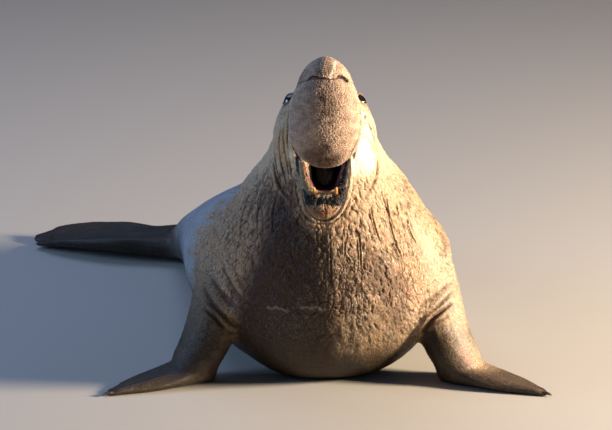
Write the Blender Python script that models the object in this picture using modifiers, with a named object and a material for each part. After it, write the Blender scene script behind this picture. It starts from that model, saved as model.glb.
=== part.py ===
# A bull northern elephant seal, life size, reared up on its fore flippers and calling.
# Metres, +Z up. The chest faces -Y, and the rear body lies back and bends towards -X.
# One soft body is lofted, blended and then parted with thin flat cuts into its named parts.
import math

import bmesh
import bpy
import numpy as np
from mathutils import Matrix, Vector

# Driving sizes
HEAD = Vector((-0.011, -0.12, 1.317))  # the middle of the head at the eyes
HEAD_PITCH = 40.0  # degrees that the muzzle points above the horizon
JAW_PITCH = -35.0  # degrees of the open lower jaw, below the horizon
JAW_HINGE = HEAD + Vector((0.0, 0.0, -0.156))
EYE_RADIUS = 0.040
EYE_PLACE = (0.0, 0.006, 0.141)  # forward, up and sideways in the head's directions
EYE_LOOK = (0.58, 0.30, 0.75)  # the way the eye looks out, in the same directions
PART_GAP = 0.0003  # between two parts that meet
RING_POINTS = 40
BLEND_VOXEL = 0.010
BODY_TRIANGLES = 8200  # of the blended body before its crisp details are cut

# What each part's surface is made of: colour, roughness
FINISHES = {
    "hide": ((0.36, 0.29, 0.22), 0.75),
    "flipper": ((0.14, 0.11, 0.09), 0.6),
    "nose": ((0.34, 0.26, 0.20), 0.65),
    "eye": ((0.012, 0.010, 0.010), 0.05),
    "tongue": ((0.30, 0.12, 0.11), 0.4),
}


def clear_scene():
    for obj in list(bpy.data.objects):
        bpy.data.objects.remove(obj)


def collection(name):
    group = bpy.data.collections.new(name)
    bpy.context.scene.collection.children.link(group)
    return group


def finish_of(name):
    material = bpy.data.materials.get(name)
    if material is None:
        colour, roughness = FINISHES[name]
        material = bpy.data.materials.new(name)
        material.use_nodes = True
        shader = material.node_tree.nodes["Principled BSDF"]
        shader.inputs["Base Color"].default_value = (*colour, 1.0)
        shader.inputs["Roughness"].default_value = roughness
        shader.inputs["Metallic"].default_value = 0.0
    return material


def object_from(bm, name, group):
    mesh = bpy.data.meshes.new(name)
    bm.to_mesh(mesh)
    bm.free()
    obj = bpy.data.objects.new(name, mesh)
    group.objects.link(obj)
    return obj


# Directions and places


def frame_of(heading, pitch):
    """(forward, side, up) of a section: heading turns it in plan from -Y towards +X."""
    h, p = math.radians(heading), math.radians(pitch)
    forward = Vector((math.sin(h) * math.cos(p), -math.cos(h) * math.cos(p), math.sin(p)))
    side = Vector((math.cos(h), math.sin(h), 0.0))
    return forward, side, forward.cross(side)


def axes_matrix(side, forward, up):
    """The turn whose columns are the three directions."""
    return Matrix((side, forward, up)).transposed()


def along(heading, pitch):
    """Directions of a block: sideways, up and forward of a section."""
    forward, side, up = frame_of(heading, pitch)
    return axes_matrix(side, up, forward)


def head_point(forward, up, side=0.0):
    f, s, u = frame_of(0.0, HEAD_PITCH)
    return HEAD + f * forward + u * up + s * side


def jaw_point(forward, up, side=0.0):
    f, s, u = frame_of(0.0, JAW_PITCH)
    return JAW_HINGE + f * forward + u * up + s * side


def eye_look(side):
    f, s, u = frame_of(0.0, HEAD_PITCH)
    return (f * EYE_LOOK[0] + u * EYE_LOOK[1] + s * EYE_LOOK[2] * side).normalized()


def eye_place(side, out=0.0):
    """The middle of an eyeball, or a point out along its look."""
    forward, up, across = EYE_PLACE
    return head_point(forward, up, across * side) + eye_look(side) * out


# Shapes


def smooth_rows(rows, count):
    """Rows on one smooth curve through the given ones, evenly spaced along their first three columns."""
    rows = np.array(rows, float)
    steps = np.linalg.norm(np.diff(rows[:, :3], axis=0), axis=1)
    at = np.concatenate([[0.0], np.cumsum(steps)])
    slopes = np.gradient(rows, at, axis=0)
    wanted = np.linspace(0.0, at[-1], count)
    index = np.clip(np.searchsorted(at, wanted, side="right") - 1, 0, len(at) - 2)
    span = (at[index + 1] - at[index])[:, None]
    t = (wanted - at[index])[:, None] / span
    before, after = rows[index], rows[index + 1]
    return (
        (2 * t**3 - 3 * t**2 + 1) * before
        + (t**3 - 2 * t**2 + t) * span * slopes[index]
        + (3 * t**2 - 2 * t**3) * after
        + (t**3 - t**2) * span * slopes[index + 1]
    )


def section(row, points):
    """One ring. row: x, y, z, heading, pitch, half width, rise, depth, squareness above and below."""
    x, y, z, heading, pitch, wide, rise, depth, square_up, square_down = row
    _, side, up = frame_of(heading, pitch)
    ring = []
    for k in range(points):
        a = 2 * math.pi * k / points
        c, s = math.cos(a), math.sin(a)
        power = 2.0 / (square_up if s >= 0 else square_down)
        across = wide * math.copysign(abs(c) ** power, c)
        height = (rise if s >= 0 else depth) * math.copysign(abs(s) ** power, s)
        ring.append(Vector((x, y, z)) + side * across + up * height)
    return ring


def skin_rings(rings, name, group):
    """A closed body over rings of points, with a point at the middle of each end."""
    bm = bmesh.new()
    loops = [[bm.verts.new(p) for p in ring] for ring in rings]
    count = len(rings[0])
    for a, b in zip(loops, loops[1:]):
        for k in range(count):
            n = (k + 1) % count
            bm.faces.new((a[k], a[n], b[n], b[k]))
    for loop in (loops[0], loops[-1]):
        middle = bm.verts.new(sum((v.co for v in loop), Vector()) / count)
        for k in range(count):
            bm.faces.new((loop[k], loop[(k + 1) % count], middle))
    bmesh.ops.recalc_face_normals(bm, faces=bm.faces)
    return object_from(bm, name, group)


def loft(name, rows, group, count=40, points=RING_POINTS):
    """A closed body through smooth sections."""
    return skin_rings([section(row, points) for row in smooth_rows(rows, count)], name, group)


def tube(name, path, group, count=16, points=10):
    """A round body along a path of (point, radius)."""
    rows = [(*point, radius) for point, radius in path]
    if len(rows) > 2:
        rows = smooth_rows(rows, count)
    rings = []
    ahead = None
    for k, row in enumerate(rows):
        here = Vector(row[:3])
        a, b = Vector(rows[max(k - 1, 0)][:3]), Vector(rows[min(k + 1, len(rows) - 1)][:3])
        along = (b - a).normalized()
        if ahead is None:
            ahead = along.orthogonal().normalized()
        ahead = (ahead - along * ahead.dot(along)).normalized()
        other = along.cross(ahead)
        rings.append([
            here + (ahead * math.cos(t) + other * math.sin(t)) * row[3]
            for t in (2 * math.pi * j / points for j in range(points))
        ])
    return skin_rings(rings, name, group)


def ball(name, place, size, group, turn=None, detail=3):
    """An ellipsoid of half sizes size, turned by the 3x3 matrix turn."""
    bm = bmesh.new()
    bmesh.ops.create_icosphere(bm, subdivisions=detail, radius=1.0)
    shape = (turn or Matrix.Identity(3)).to_4x4() @ Matrix.Diagonal((*size, 1.0))
    bm.transform(Matrix.Translation(place) @ shape)
    return object_from(bm, name, group)


def box(name, place, turn, low, high, group):
    """A block from low to high in the directions turn, measured from place."""
    bm = bmesh.new()
    bmesh.ops.create_cube(bm, size=1.0)
    low, high = Vector(low), Vector(high)
    for v in bm.verts:
        v.co = Vector(low[i] + (v.co[i] + 0.5) * (high[i] - low[i]) for i in range(3))
    bm.transform(Matrix.Translation(place) @ turn.to_4x4())
    return object_from(bm, name, group)


# Joining and cutting


def settle(obj):
    """Turns the object's modifiers into its mesh."""
    bpy.context.view_layer.update()
    graph = bpy.context.evaluated_depsgraph_get()
    mesh = bpy.data.meshes.new_from_object(obj.evaluated_get(graph))
    obj.modifiers.clear()
    obj.data = mesh


def join(obj, others, operation="UNION", drop=True):
    """Joins closed bodies to obj, or cuts them out of it."""
    group = collection("joining")
    for other in others:
        group.objects.link(other)
    modifier = obj.modifiers.new("join", "BOOLEAN")
    modifier.operand_type = "COLLECTION"
    modifier.collection = group
    modifier.operation = operation
    modifier.solver = "MANIFOLD"
    settle(obj)
    bpy.data.collections.remove(group)
    if drop:
        for other in others:
            bpy.data.objects.remove(other)


def copy_of(obj, name, group):
    twin = bpy.data.objects.new(name, obj.data.copy())
    group.objects.link(twin)
    return twin


def biggest_shell(obj):
    """Keeps the biggest closed surface of the object."""
    bm = bmesh.new()
    bm.from_mesh(obj.data)
    left, shells = set(bm.faces), []
    while left:
        stack = [left.pop()]
        shell = list(stack)
        while stack:
            for edge in stack.pop().edges:
                for face in edge.link_faces:
                    if face in left:
                        left.remove(face)
                        stack.append(face)
                        shell.append(face)
        shells.append(shell)
    shells.sort(key=len)
    for shell in shells[:-1]:
        bmesh.ops.delete(bm, geom=shell, context="FACES")
    bm.to_mesh(obj.data)
    bm.free()


def clean(obj, near=0.00004):
    bm = bmesh.new()
    bm.from_mesh(obj.data)
    bmesh.ops.triangulate(bm, faces=bm.faces)
    bmesh.ops.remove_doubles(bm, verts=bm.verts, dist=near)
    bmesh.ops.dissolve_degenerate(bm, dist=near, edges=bm.edges)
    bmesh.ops.triangulate(bm, faces=bm.faces)
    bm.to_mesh(obj.data)
    bm.free()


def soften(obj, rounds, strength):
    """Evens the surface: each point moves towards its neighbours' middle, by its own strength."""
    mesh = obj.data
    points = np.empty(len(mesh.vertices) * 3)
    mesh.vertices.foreach_get("co", points)
    points = points.reshape(-1, 3)
    edges = np.empty(len(mesh.edges) * 2, np.int32)
    mesh.edges.foreach_get("vertices", edges)
    a, b = edges.reshape(-1, 2).T
    count = len(points)
    share = np.bincount(a, minlength=count) + np.bincount(b, minlength=count)
    weight = strength(points)[:, None]
    for _ in range(rounds):
        total = np.empty_like(points)
        for k in range(3):
            total[:, k] = np.bincount(a, points[b, k], count) + np.bincount(b, points[a, k], count)
        points += (total / share[:, None] - points) * weight
    mesh.vertices.foreach_set("co", points.ravel())
    mesh.update()


def coarsen(obj, triangles):
    """Brings the body down to a number of triangles."""
    obj.data.calc_loop_triangles()
    modifier = obj.modifiers.new("coarse", "DECIMATE")
    modifier.ratio = triangles / len(obj.data.loop_triangles)
    modifier.use_collapse_triangulate = True
    settle(obj)


# The forms


def trunk_and_neck(group):
    # x, y, z, heading, pitch, half width, rise, depth, squareness above and below
    rows = [
        (-0.685, 2.215, 0.10, 42, 0, 0.07, 0.05, 0.07, 2.0, 2.0),
        (-0.645, 2.155, 0.12, 40, 2, 0.16, 0.085, 0.12, 2.0, 2.2),
        (-0.56, 2.04, 0.165, 36, 3, 0.25, 0.12, 0.18, 2.0, 2.3),
        (-0.43, 1.82, 0.22, 30, 4, 0.35, 0.185, 0.235, 2.0, 2.4),
        (-0.27, 1.45, 0.28, 22, 5, 0.46, 0.295, 0.30, 2.0, 2.5),
        (-0.14, 1.00, 0.34, 13, 8, 0.54, 0.385, 0.37, 2.0, 2.5),
        (-0.05, 0.63, 0.42, 4, 20, 0.57, 0.44, 0.48, 1.8, 2.3),
        (0.0, 0.37, 0.54, 0, 38, 0.575, 0.41, 0.64, 1.5, 2.05),
        (0.0, 0.19, 0.71, 0, 56, 0.475, 0.40, 0.51, 1.6, 2.0),
        (-0.002, 0.09, 0.86, 0, 66, 0.385, 0.35, 0.375, 1.9, 2.0),
        (-0.006, 0.03, 1.00, 0, 69, 0.285, 0.29, 0.28, 2.0, 2.0),
        (-0.010, -0.01, 1.12, 0, 66, 0.235, 0.20, 0.21, 2.0, 2.0),
        (-0.011, -0.05, 1.25, 0, 60, 0.16, 0.15, 0.12, 2.0, 2.0),
    ]
    return loft("body", rows, group, 80, 56)


def upper_head(group):
    # forward, up, half width, rise, depth
    stations = [
        (-0.38, -0.16, 0.14, 0.12, 0.12),
        (-0.28, -0.11, 0.212, 0.20, 0.19),
        (-0.17, -0.08, 0.232, 0.20, 0.20),
        (-0.06, -0.07, 0.215, 0.19, 0.17),
        (0.02, -0.06, 0.182, 0.165, 0.14),
        (0.10, -0.06, 0.152, 0.14, 0.115),
        (0.19, -0.07, 0.138, 0.12, 0.105),
        (0.26, -0.08, 0.115, 0.10, 0.085),
        (0.31, -0.08, 0.065, 0.06, 0.05),
    ]
    rows = []
    for forward, up, wide, rise, depth in stations:
        rows.append((*head_point(forward, up), 0, HEAD_PITCH, wide, rise, depth, 2.0, 2.2))
    return loft("upper_head", rows, group, 34)


def proboscis(group):
    # y and z from HEAD, pitch, half width, front, back, squareness in front
    stations = [
        (-0.02, 0.00, 50, 0.09, 0.06, 0.06, 2.0),
        (-0.10, 0.085, 42, 0.115, 0.085, 0.09, 1.9),
        (-0.18, 0.152, 22, 0.104, 0.10, 0.10, 1.7),
        (-0.245, 0.163, -20, 0.121, 0.108, 0.11, 1.6),
        (-0.285, 0.105, -60, 0.143, 0.11, 0.11, 2.0),
        (-0.30, 0.03, -82, 0.158, 0.12, 0.11, 2.1),
        (-0.305, -0.05, -90, 0.160, 0.125, 0.105, 2.1),
        (-0.30, -0.12, -94, 0.138, 0.115, 0.095, 2.1),
        (-0.295, -0.17, -96, 0.104, 0.088, 0.075, 2.1),
        (-0.29, -0.21, -98, 0.050, 0.04, 0.035, 2.1),
    ]
    rows = []
    for y, z, pitch, wide, front, back, square in stations:
        rows.append((HEAD.x, HEAD.y + y, HEAD.z + z, 0, pitch, wide, front, back, square, 2.0))
    return loft("nose", rows, group, 44)


def lower_jaw(group):
    # along the jaw, lift, half width, rise, depth
    stations = [
        (-0.06, -0.03, 0.15, 0.05, 0.14),
        (0.06, -0.02, 0.130, 0.045, 0.14),
        (0.18, -0.01, 0.116, 0.04, 0.13),
        (0.28, 0.0, 0.110, 0.03, 0.12),
        (0.355, 0.0, 0.100, 0.03, 0.105),
        (0.410, -0.012, 0.080, 0.025, 0.075),
        (0.446, -0.025, 0.044, 0.014, 0.035),
    ]
    rows = []
    for along, lift, wide, rise, depth in stations:
        rows.append((*jaw_point(along, lift), 0, JAW_PITCH, wide, rise, depth, 2.4, 2.1))
    return loft("jaw", rows, group, 30)


FLIPPER = {
    # the arm: x, y, z, radius across, radius fore and aft
    "arm": [
        (0.385, 0.33, 0.53, 0.180, 0.19),
        (0.450, 0.22, 0.38, 0.160, 0.170),
        (0.505, 0.13, 0.27, 0.132, 0.148),
        (0.545, 0.07, 0.18, 0.124, 0.130),
        (0.575, 0.04, 0.11, 0.124, 0.118),
        (0.600, 0.025, 0.06, 0.100, 0.10),
    ],
    # the hand: x, y, heading, half chord, half thickness
    "hand": [
        (0.505, 0.075, 70, 0.070, 0.044),
        (0.560, 0.055, 70, 0.098, 0.056),
        (0.64, 0.02, 68, 0.114, 0.056),
        (0.72, -0.02, 65, 0.118, 0.042),
        (0.80, -0.06, 62, 0.108, 0.029),
        (0.87, -0.10, 60, 0.088, 0.020),
        (0.93, -0.14, 58, 0.058, 0.014),
        (0.975, -0.18, 58, 0.022, 0.010),
    ],
    # the digits: root x, y and tip x, y, and radius at the root
    "digits": [
        (0.58, -0.035, 0.985, -0.200, 0.034),
        (0.60, 0.000, 0.965, -0.140, 0.030),
        (0.62, 0.040, 0.925, -0.075, 0.028),
        (0.64, 0.080, 0.870, -0.005, 0.027),
        (0.66, 0.115, 0.800, 0.055, 0.026),
    ],
}


def fore_limb(side, group):
    """The arm, the hand and its five digits, side -1 or 1."""
    rows = [
        (side * x, y, z, 0, 90, across, deep, deep, 2.0, 2.0)
        for x, y, z, across, deep in FLIPPER["arm"]
    ]
    pieces = [loft("arm", rows, group, 26, 32)]
    rows = []
    for x, y, heading, chord, thick in FLIPPER["hand"]:
        rows.append((side * x, y, thick * 0.85, side * heading, 0, chord, thick, thick, 2.0, 2.0))
    pieces.append(loft("hand", rows, group, 26, 32))
    for root_x, root_y, tip_x, tip_y, radius in FLIPPER["digits"]:
        path = []
        for t, share in ((0.0, 0.9), (0.35, 1.0), (0.7, 0.72), (0.93, 0.5), (1.0, 0.28)):
            x = side * (root_x + (tip_x - root_x) * t)
            y = root_y + (tip_y - root_y) * t
            height = radius * share * 0.62 + 0.030 * (1 - t) ** 1.5
            path.append((Vector((x, y, height)), radius * share))
        pieces.append(tube("digit", path, group, 14, 12))
    return pieces


HIND = {
    # each flipper: x, y, z, heading, half chord, half thickness
    "right": [
        (-0.56, 1.94, 0.095, 72, 0.085, 0.086),
        (-0.74, 1.99, 0.076, 75, 0.090, 0.072),
        (-0.90, 2.04, 0.055, 76, 0.095, 0.049),
        (-1.06, 2.09, 0.042, 76, 0.112, 0.037),
        (-1.22, 2.155, 0.032, 76, 0.110, 0.028),
        (-1.36, 2.22, 0.024, 76, 0.083, 0.021),
        (-1.475, 2.27, 0.015, 76, 0.035, 0.013),
    ],
    "left": [
        (-0.56, 2.06, 0.095, 70, 0.085, 0.086),
        (-0.75, 2.11, 0.076, 74, 0.090, 0.072),
        (-0.92, 2.175, 0.056, 75, 0.092, 0.049),
        (-1.08, 2.24, 0.044, 77, 0.104, 0.038),
        (-1.24, 2.305, 0.034, 80, 0.100, 0.030),
        (-1.38, 2.345, 0.026, 85, 0.075, 0.022),
        (-1.495, 2.365, 0.018, 90, 0.032, 0.014),
    ],
}
HIND_ROLL = 16.0  # degrees that the inner edge of each hind flipper stands up


def hind_limb(side, group):
    """One hind flipper with its five digits."""
    stations = HIND[side]
    roll = math.radians(HIND_ROLL if side == "right" else -HIND_ROLL)
    rings, spine = [], []
    for row in smooth_rows(stations, 30):
        x, y, z, heading, chord, thick = row
        _, across, up = frame_of(180 + heading, 0)
        turn = Matrix.Rotation(roll, 3, across.cross(up))
        across, up = turn @ across, turn @ up
        here = Vector((x, y, z + abs(math.sin(roll)) * chord * 0.75))
        rings.append([
            here + across * math.cos(a) * chord + up * math.sin(a) * thick
            for a in (2 * math.pi * k / 28 for k in range(28))
        ])
        spine.append((here, across, up, chord, thick))
    pieces = [skin_rings(rings, "hind", group)]
    for spread, reach in ((-0.82, 29), (-0.42, 27), (0.0, 26), (0.42, 27), (0.82, 29)):
        path = []
        for k in range(5, reach, 3):
            here, across, up, chord, thick = spine[k]
            grown = min(1.0, 0.30 + 0.70 * (k - 5) / 9)  # a digit rises slowly out of the ankle
            place = here + across * chord * spread * (0.55 + 0.45 * grown) + up * thick * 0.35 * grown
            path.append((place, max(0.012, thick * 0.80 * grown)))
        pieces.append(tube("hind_digit", path, group, 16, 10))
    return pieces


def tail_form(group):
    rows = [
        (-0.60, 2.09, 0.150, 222, -8, 0.055, 0.03, 0.04, 2.0, 2.0),
        (-0.675, 2.185, 0.140, 222, -10, 0.042, 0.024, 0.03, 2.0, 2.0),
        (-0.73, 2.25, 0.126, 222, -12, 0.028, 0.016, 0.018, 2.0, 2.0),
        (-0.755, 2.28, 0.118, 222, -12, 0.012, 0.007, 0.008, 2.0, 2.0),
    ]
    return loft("tail_form", rows, group, 12, 16)


def lip_and_brow_forms(group):
    """The rolled lip round the lower jaw, the upper lips and the swellings round the eyes."""
    rim = [
        (0.06, 0.016, 0.112, 0.023), (0.16, 0.022, 0.099, 0.018), (0.26, 0.024, 0.093, 0.017),
        (0.345, 0.020, 0.082, 0.018), (0.402, 0.012, 0.050, 0.020), (0.424, 0.006, 0.0, 0.021),
    ]
    path = [(jaw_point(s, u, x), r) for s, u, x, r in rim]
    path += [(jaw_point(s, u, -x), r) for s, u, x, r in reversed(rim[:-1])]
    pieces = [tube("lower_lip", path, group, 48, 12)]
    lip = [
        (-0.10, -0.235, 0.135, 0.030), (-0.02, -0.205, 0.130, 0.032), (0.08, -0.175, 0.118, 0.034),
        (0.17, -0.165, 0.100, 0.034), (0.25, -0.155, 0.060, 0.032),
    ]
    for side in (-1, 1):
        path = [(head_point(f, u, side * x), r) for f, u, x, r in lip]
        pieces.append(tube("upper_lip", path, group, 20, 12))
        pieces.append(ball("orbit", eye_place(side, -0.014), (0.048, 0.054, 0.050), group))
    return pieces


def crease_cutters(group):
    """The fold across the top of the nose, with a deep slot on each side."""
    arc = [
        (0.0, -0.355, 0.216, 0.013), (0.035, -0.350, 0.212, 0.015), (0.062, -0.338, 0.205, 0.018),
        (0.090, -0.312, 0.194, 0.016), (0.118, -0.275, 0.180, 0.009),
    ]
    path = [(HEAD + Vector((-x, y, z)), r) for x, y, z, r in reversed(arc[1:])]
    path += [(HEAD + Vector((x, y, z)), r) for x, y, z, r in arc]
    return [tube("crease", path, group, 36, 12)]


def soft_strength(points):
    """How much each point gives way when the body is evened: less on thin and detailed parts."""
    x, y, z = points.T
    strength = np.full(len(points), 0.5)
    front = y < 0.45
    head = np.clip((z + 0.25 * y - 0.86) / 0.12, 0.0, 1.0) * front
    hand = np.clip((0.22 - z) / 0.10, 0.0, 1.0) * np.clip((np.abs(x) - 0.50) / 0.06, 0.0, 1.0) * front
    hind = np.clip((-0.72 - x) / 0.08, 0.0, 1.0)
    detail = np.maximum(np.maximum(head * 0.93, hand * 0.97), hind * 0.96)
    return strength * (1.0 - detail)


def blended_body(group):
    body = trunk_and_neck(group)
    pieces = [upper_head(group), proboscis(group), lower_jaw(group), tail_form(group)]
    pieces += lip_and_brow_forms(group)
    for side in (-1, 1):
        pieces += fore_limb(side, group)
    for side in ("right", "left"):
        pieces += hind_limb(side, group)
    join(body, pieces)
    join(body, crease_cutters(group), "DIFFERENCE")
    modifier = body.modifiers.new("blend", "REMESH")
    modifier.mode = "VOXEL"
    modifier.voxel_size = BLEND_VOXEL
    settle(body)
    soften(body, 30, soft_strength)
    coarsen(body, BODY_TRIANGLES)
    return body


# Crisp details cut into the blended body

MOUTH_FLOOR = -0.040  # height of the mouth's flat floor over the jaw's axis


def above_mouth_floor(height, group):
    """A block over the mouth's floor, at a height over the jaw's axis."""
    return box("over_floor", JAW_HINGE, along(0.0, JAW_PITCH), (-1, height, -1), (1, 1, 1), group)


def mouth_cutters(group):
    """The throat, the hollow of the lower jaw and the hollow of the palate."""
    # along the jaw, lift, half width, rise, depth
    hollow = [
        (-0.02, 0.030, 0.045, 0.05, 0.080),
        (0.08, 0.035, 0.064, 0.06, 0.100),
        (0.18, 0.040, 0.066, 0.07, 0.105),
        (0.26, 0.040, 0.058, 0.06, 0.100),
        (0.308, 0.035, 0.036, 0.05, 0.085),
    ]
    rows = [
        (*jaw_point(s, lift), 0, JAW_PITCH, wide, rise, depth, 2.0, 2.8)
        for s, lift, wide, rise, depth in hollow
    ]
    jaw = loft("jaw_hollow", rows, group, 14, 28)
    join(jaw, [above_mouth_floor(MOUTH_FLOOR - PART_GAP, group)], "INTERSECT")
    # forward, up, half width, rise, depth
    palate = [
        (-0.10, -0.20, 0.05, 0.045, 0.06),
        (0.00, -0.19, 0.066, 0.050, 0.06),
        (0.10, -0.175, 0.066, 0.045, 0.06),
        (0.18, -0.165, 0.050, 0.035, 0.06),
        (0.22, -0.165, 0.028, 0.025, 0.05),
    ]
    rows = [
        (*head_point(f, up), 0, HEAD_PITCH, wide, rise, depth, 2.0, 2.0)
        for f, up, wide, rise, depth in palate
    ]
    pieces = [jaw, loft("palate", rows, group, 12, 24)]
    throat = HEAD + Vector((0, 0.02, -0.165))
    pieces.append(ball("throat", throat, (0.052, 0.13, 0.048), group, None, 2))
    return pieces


def gum_grooves(group):
    """The groove between the lower lip and the gum."""
    rim = [
        (0.115, 0.040, 0.087, 0.006), (0.20, 0.042, 0.082, 0.006), (0.29, 0.042, 0.073, 0.007),
        (0.345, 0.040, 0.052, 0.009), (0.370, 0.038, 0.0, 0.009),
    ]
    path = [(jaw_point(s, u, x), r) for s, u, x, r in rim]
    path += [(jaw_point(s, u, -x), r) for s, u, x, r in reversed(rim[:-1])]
    return [tube("groove", path, group, 26, 8)]


def peg(name, root, tip, radius, group, bend=None, points=8):
    """A tooth or claw: a cone with a blunt tip, from its sunk root."""
    root, tip = Vector(root), Vector(tip)
    middle = root.lerp(tip, 0.55) + (bend or Vector())
    path = [
        (root, radius * 0.8), (root.lerp(middle, 0.5), radius),
        (middle, radius * 0.82), (tip, radius * 0.22),
    ]
    return tube(name, path, group, 6, points)


def lower_teeth(group):
    pieces = []
    forward = frame_of(0, JAW_PITCH)[0]
    for side in (-1, 1):
        root, tip = jaw_point(0.336, -0.004, 0.043 * side), jaw_point(0.340, 0.072, 0.049 * side)
        pieces.append(peg("canine", root, tip, 0.0105, group, forward * 0.004, 10))
        root, tip = jaw_point(0.342, 0.0, 0.016 * side), jaw_point(0.347, 0.045, 0.017 * side)
        pieces.append(peg("incisor", root, tip, 0.0045, group, None, 6))
        for k in range(4):
            along_jaw, across = 0.170 + 0.036 * k, (0.0735 - 0.0006 * k**2) * side
            root, tip = jaw_point(along_jaw, 0.005, across), jaw_point(along_jaw, 0.052, across)
            pieces.append(peg("cheek_tooth", root, tip, 0.0055, group, None, 6))
    return pieces


def upper_teeth(group):
    pieces = []
    for side in (-1, 1):
        root, tip = head_point(0.232, -0.145, 0.048 * side), head_point(0.240, -0.232, 0.054 * side)
        pieces.append(peg("canine", root, tip, 0.0115, group, frame_of(0, HEAD_PITCH)[0] * 0.006, 10))
    return pieces


def lids(side, group):
    """The rolled edge of the eyelids round one eye."""
    look = eye_look(side)
    ahead = frame_of(0.0, HEAD_PITCH)[0]
    across = (ahead - look * look.dot(ahead)).normalized()
    above = look.cross(across) * side
    middle = eye_place(side, 0.021)
    bm = bmesh.new()
    loops = []
    for k in range(20):
        a = 2 * math.pi * k / 20
        out = across * math.cos(a) * 1.04 + above * math.sin(a) * 0.86
        centre = middle + out * 0.0365
        thick = 0.0075 + 0.0015 * max(0.0, math.sin(a))
        loops.append([
            bm.verts.new(centre + (out.normalized() * math.cos(b) + look * math.sin(b)) * thick)
            for b in (2 * math.pi * j / 8 for j in range(8))
        ])
    for i in range(20):
        a, b = loops[i], loops[(i + 1) % 20]
        for k in range(8):
            bm.faces.new((a[k], a[(k + 1) % 8], b[(k + 1) % 8], b[k]))
    bmesh.ops.recalc_face_normals(bm, faces=bm.faces)
    return object_from(bm, "lid", group)


def nostril_cutters(group):
    """The two nostrils under the nose's tip and the dark slots at the ends of its fold."""
    # sideways, y and z from HEAD, radius
    slot = [
        (0.036, -0.336, 0.212, 0.004), (0.060, -0.326, 0.205, 0.008),
        (0.086, -0.304, 0.194, 0.007), (0.104, -0.282, 0.184, 0.003),
    ]
    pieces = []
    for side in (-1, 1):
        turn = Matrix.Rotation(math.radians(22 * side), 3, "Y")
        place = HEAD + Vector((0.034 * side, -0.318, -0.196))
        pieces.append(ball("nostril", place, (0.0085, 0.020, 0.024), group, turn, 2))
        path = [(HEAD + Vector((side * x, y, z)), r) for x, y, z, r in slot]
        pieces.append(tube("slot", path, group, 12, 8))
    return pieces


def ear_cutters(group):
    return [
        ball("ear", head_point(-0.13, 0.0, 0.214 * side), (0.010, 0.006, 0.006), group, None, 2)
        for side in (-1, 1)
    ]


def claws(side, group):
    """The five claws of a fore flipper."""
    pieces = []
    for root_x, root_y, tip_x, tip_y, radius in FLIPPER["digits"]:
        reach = Vector((side * (tip_x - root_x), tip_y - root_y, 0.0)).normalized()
        end = Vector((side * tip_x, tip_y, 0.0))
        root = end - reach * 0.040 + Vector((0, 0, 0.012))
        tip = end + reach * 0.018 + Vector((0, 0, 0.007))
        pieces.append(peg("claw", root, tip, 0.0075, group, Vector((0, 0, 0.006)), 8))
    return pieces


def tongue(group):
    """The tongue, lying on the mouth's flat floor."""
    # along the jaw, half width, rise
    stations = [
        (0.005, 0.030, 0.022), (0.06, 0.040, 0.030), (0.13, 0.045, 0.030),
        (0.19, 0.042, 0.026), (0.225, 0.030, 0.018), (0.24, 0.014, 0.009),
    ]
    rows = [
        (*jaw_point(s, MOUTH_FLOOR + 0.004), 0, JAW_PITCH, wide, rise, 0.02, 2.4, 2.4)
        for s, wide, rise in stations
    ]
    obj = loft("tongue", rows, group, 12, 20)
    join(obj, [above_mouth_floor(MOUTH_FLOOR, group)], "INTERSECT")
    return obj


# Parting the body


def part_off(body, name, place, turn, low, high, group):
    """Moves what lies inside a block out of the body as its own part, with a thin gap round it."""
    gap = Vector((PART_GAP, PART_GAP, PART_GAP))
    piece = copy_of(body, name, group)
    join(piece, [box("block", place, turn, low, high, group)], "INTERSECT")
    block = box("block", place, turn, Vector(low) - gap, Vector(high) + gap, group)
    join(body, [block], "DIFFERENCE")
    biggest_shell(piece)
    biggest_shell(body)
    return piece


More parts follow.
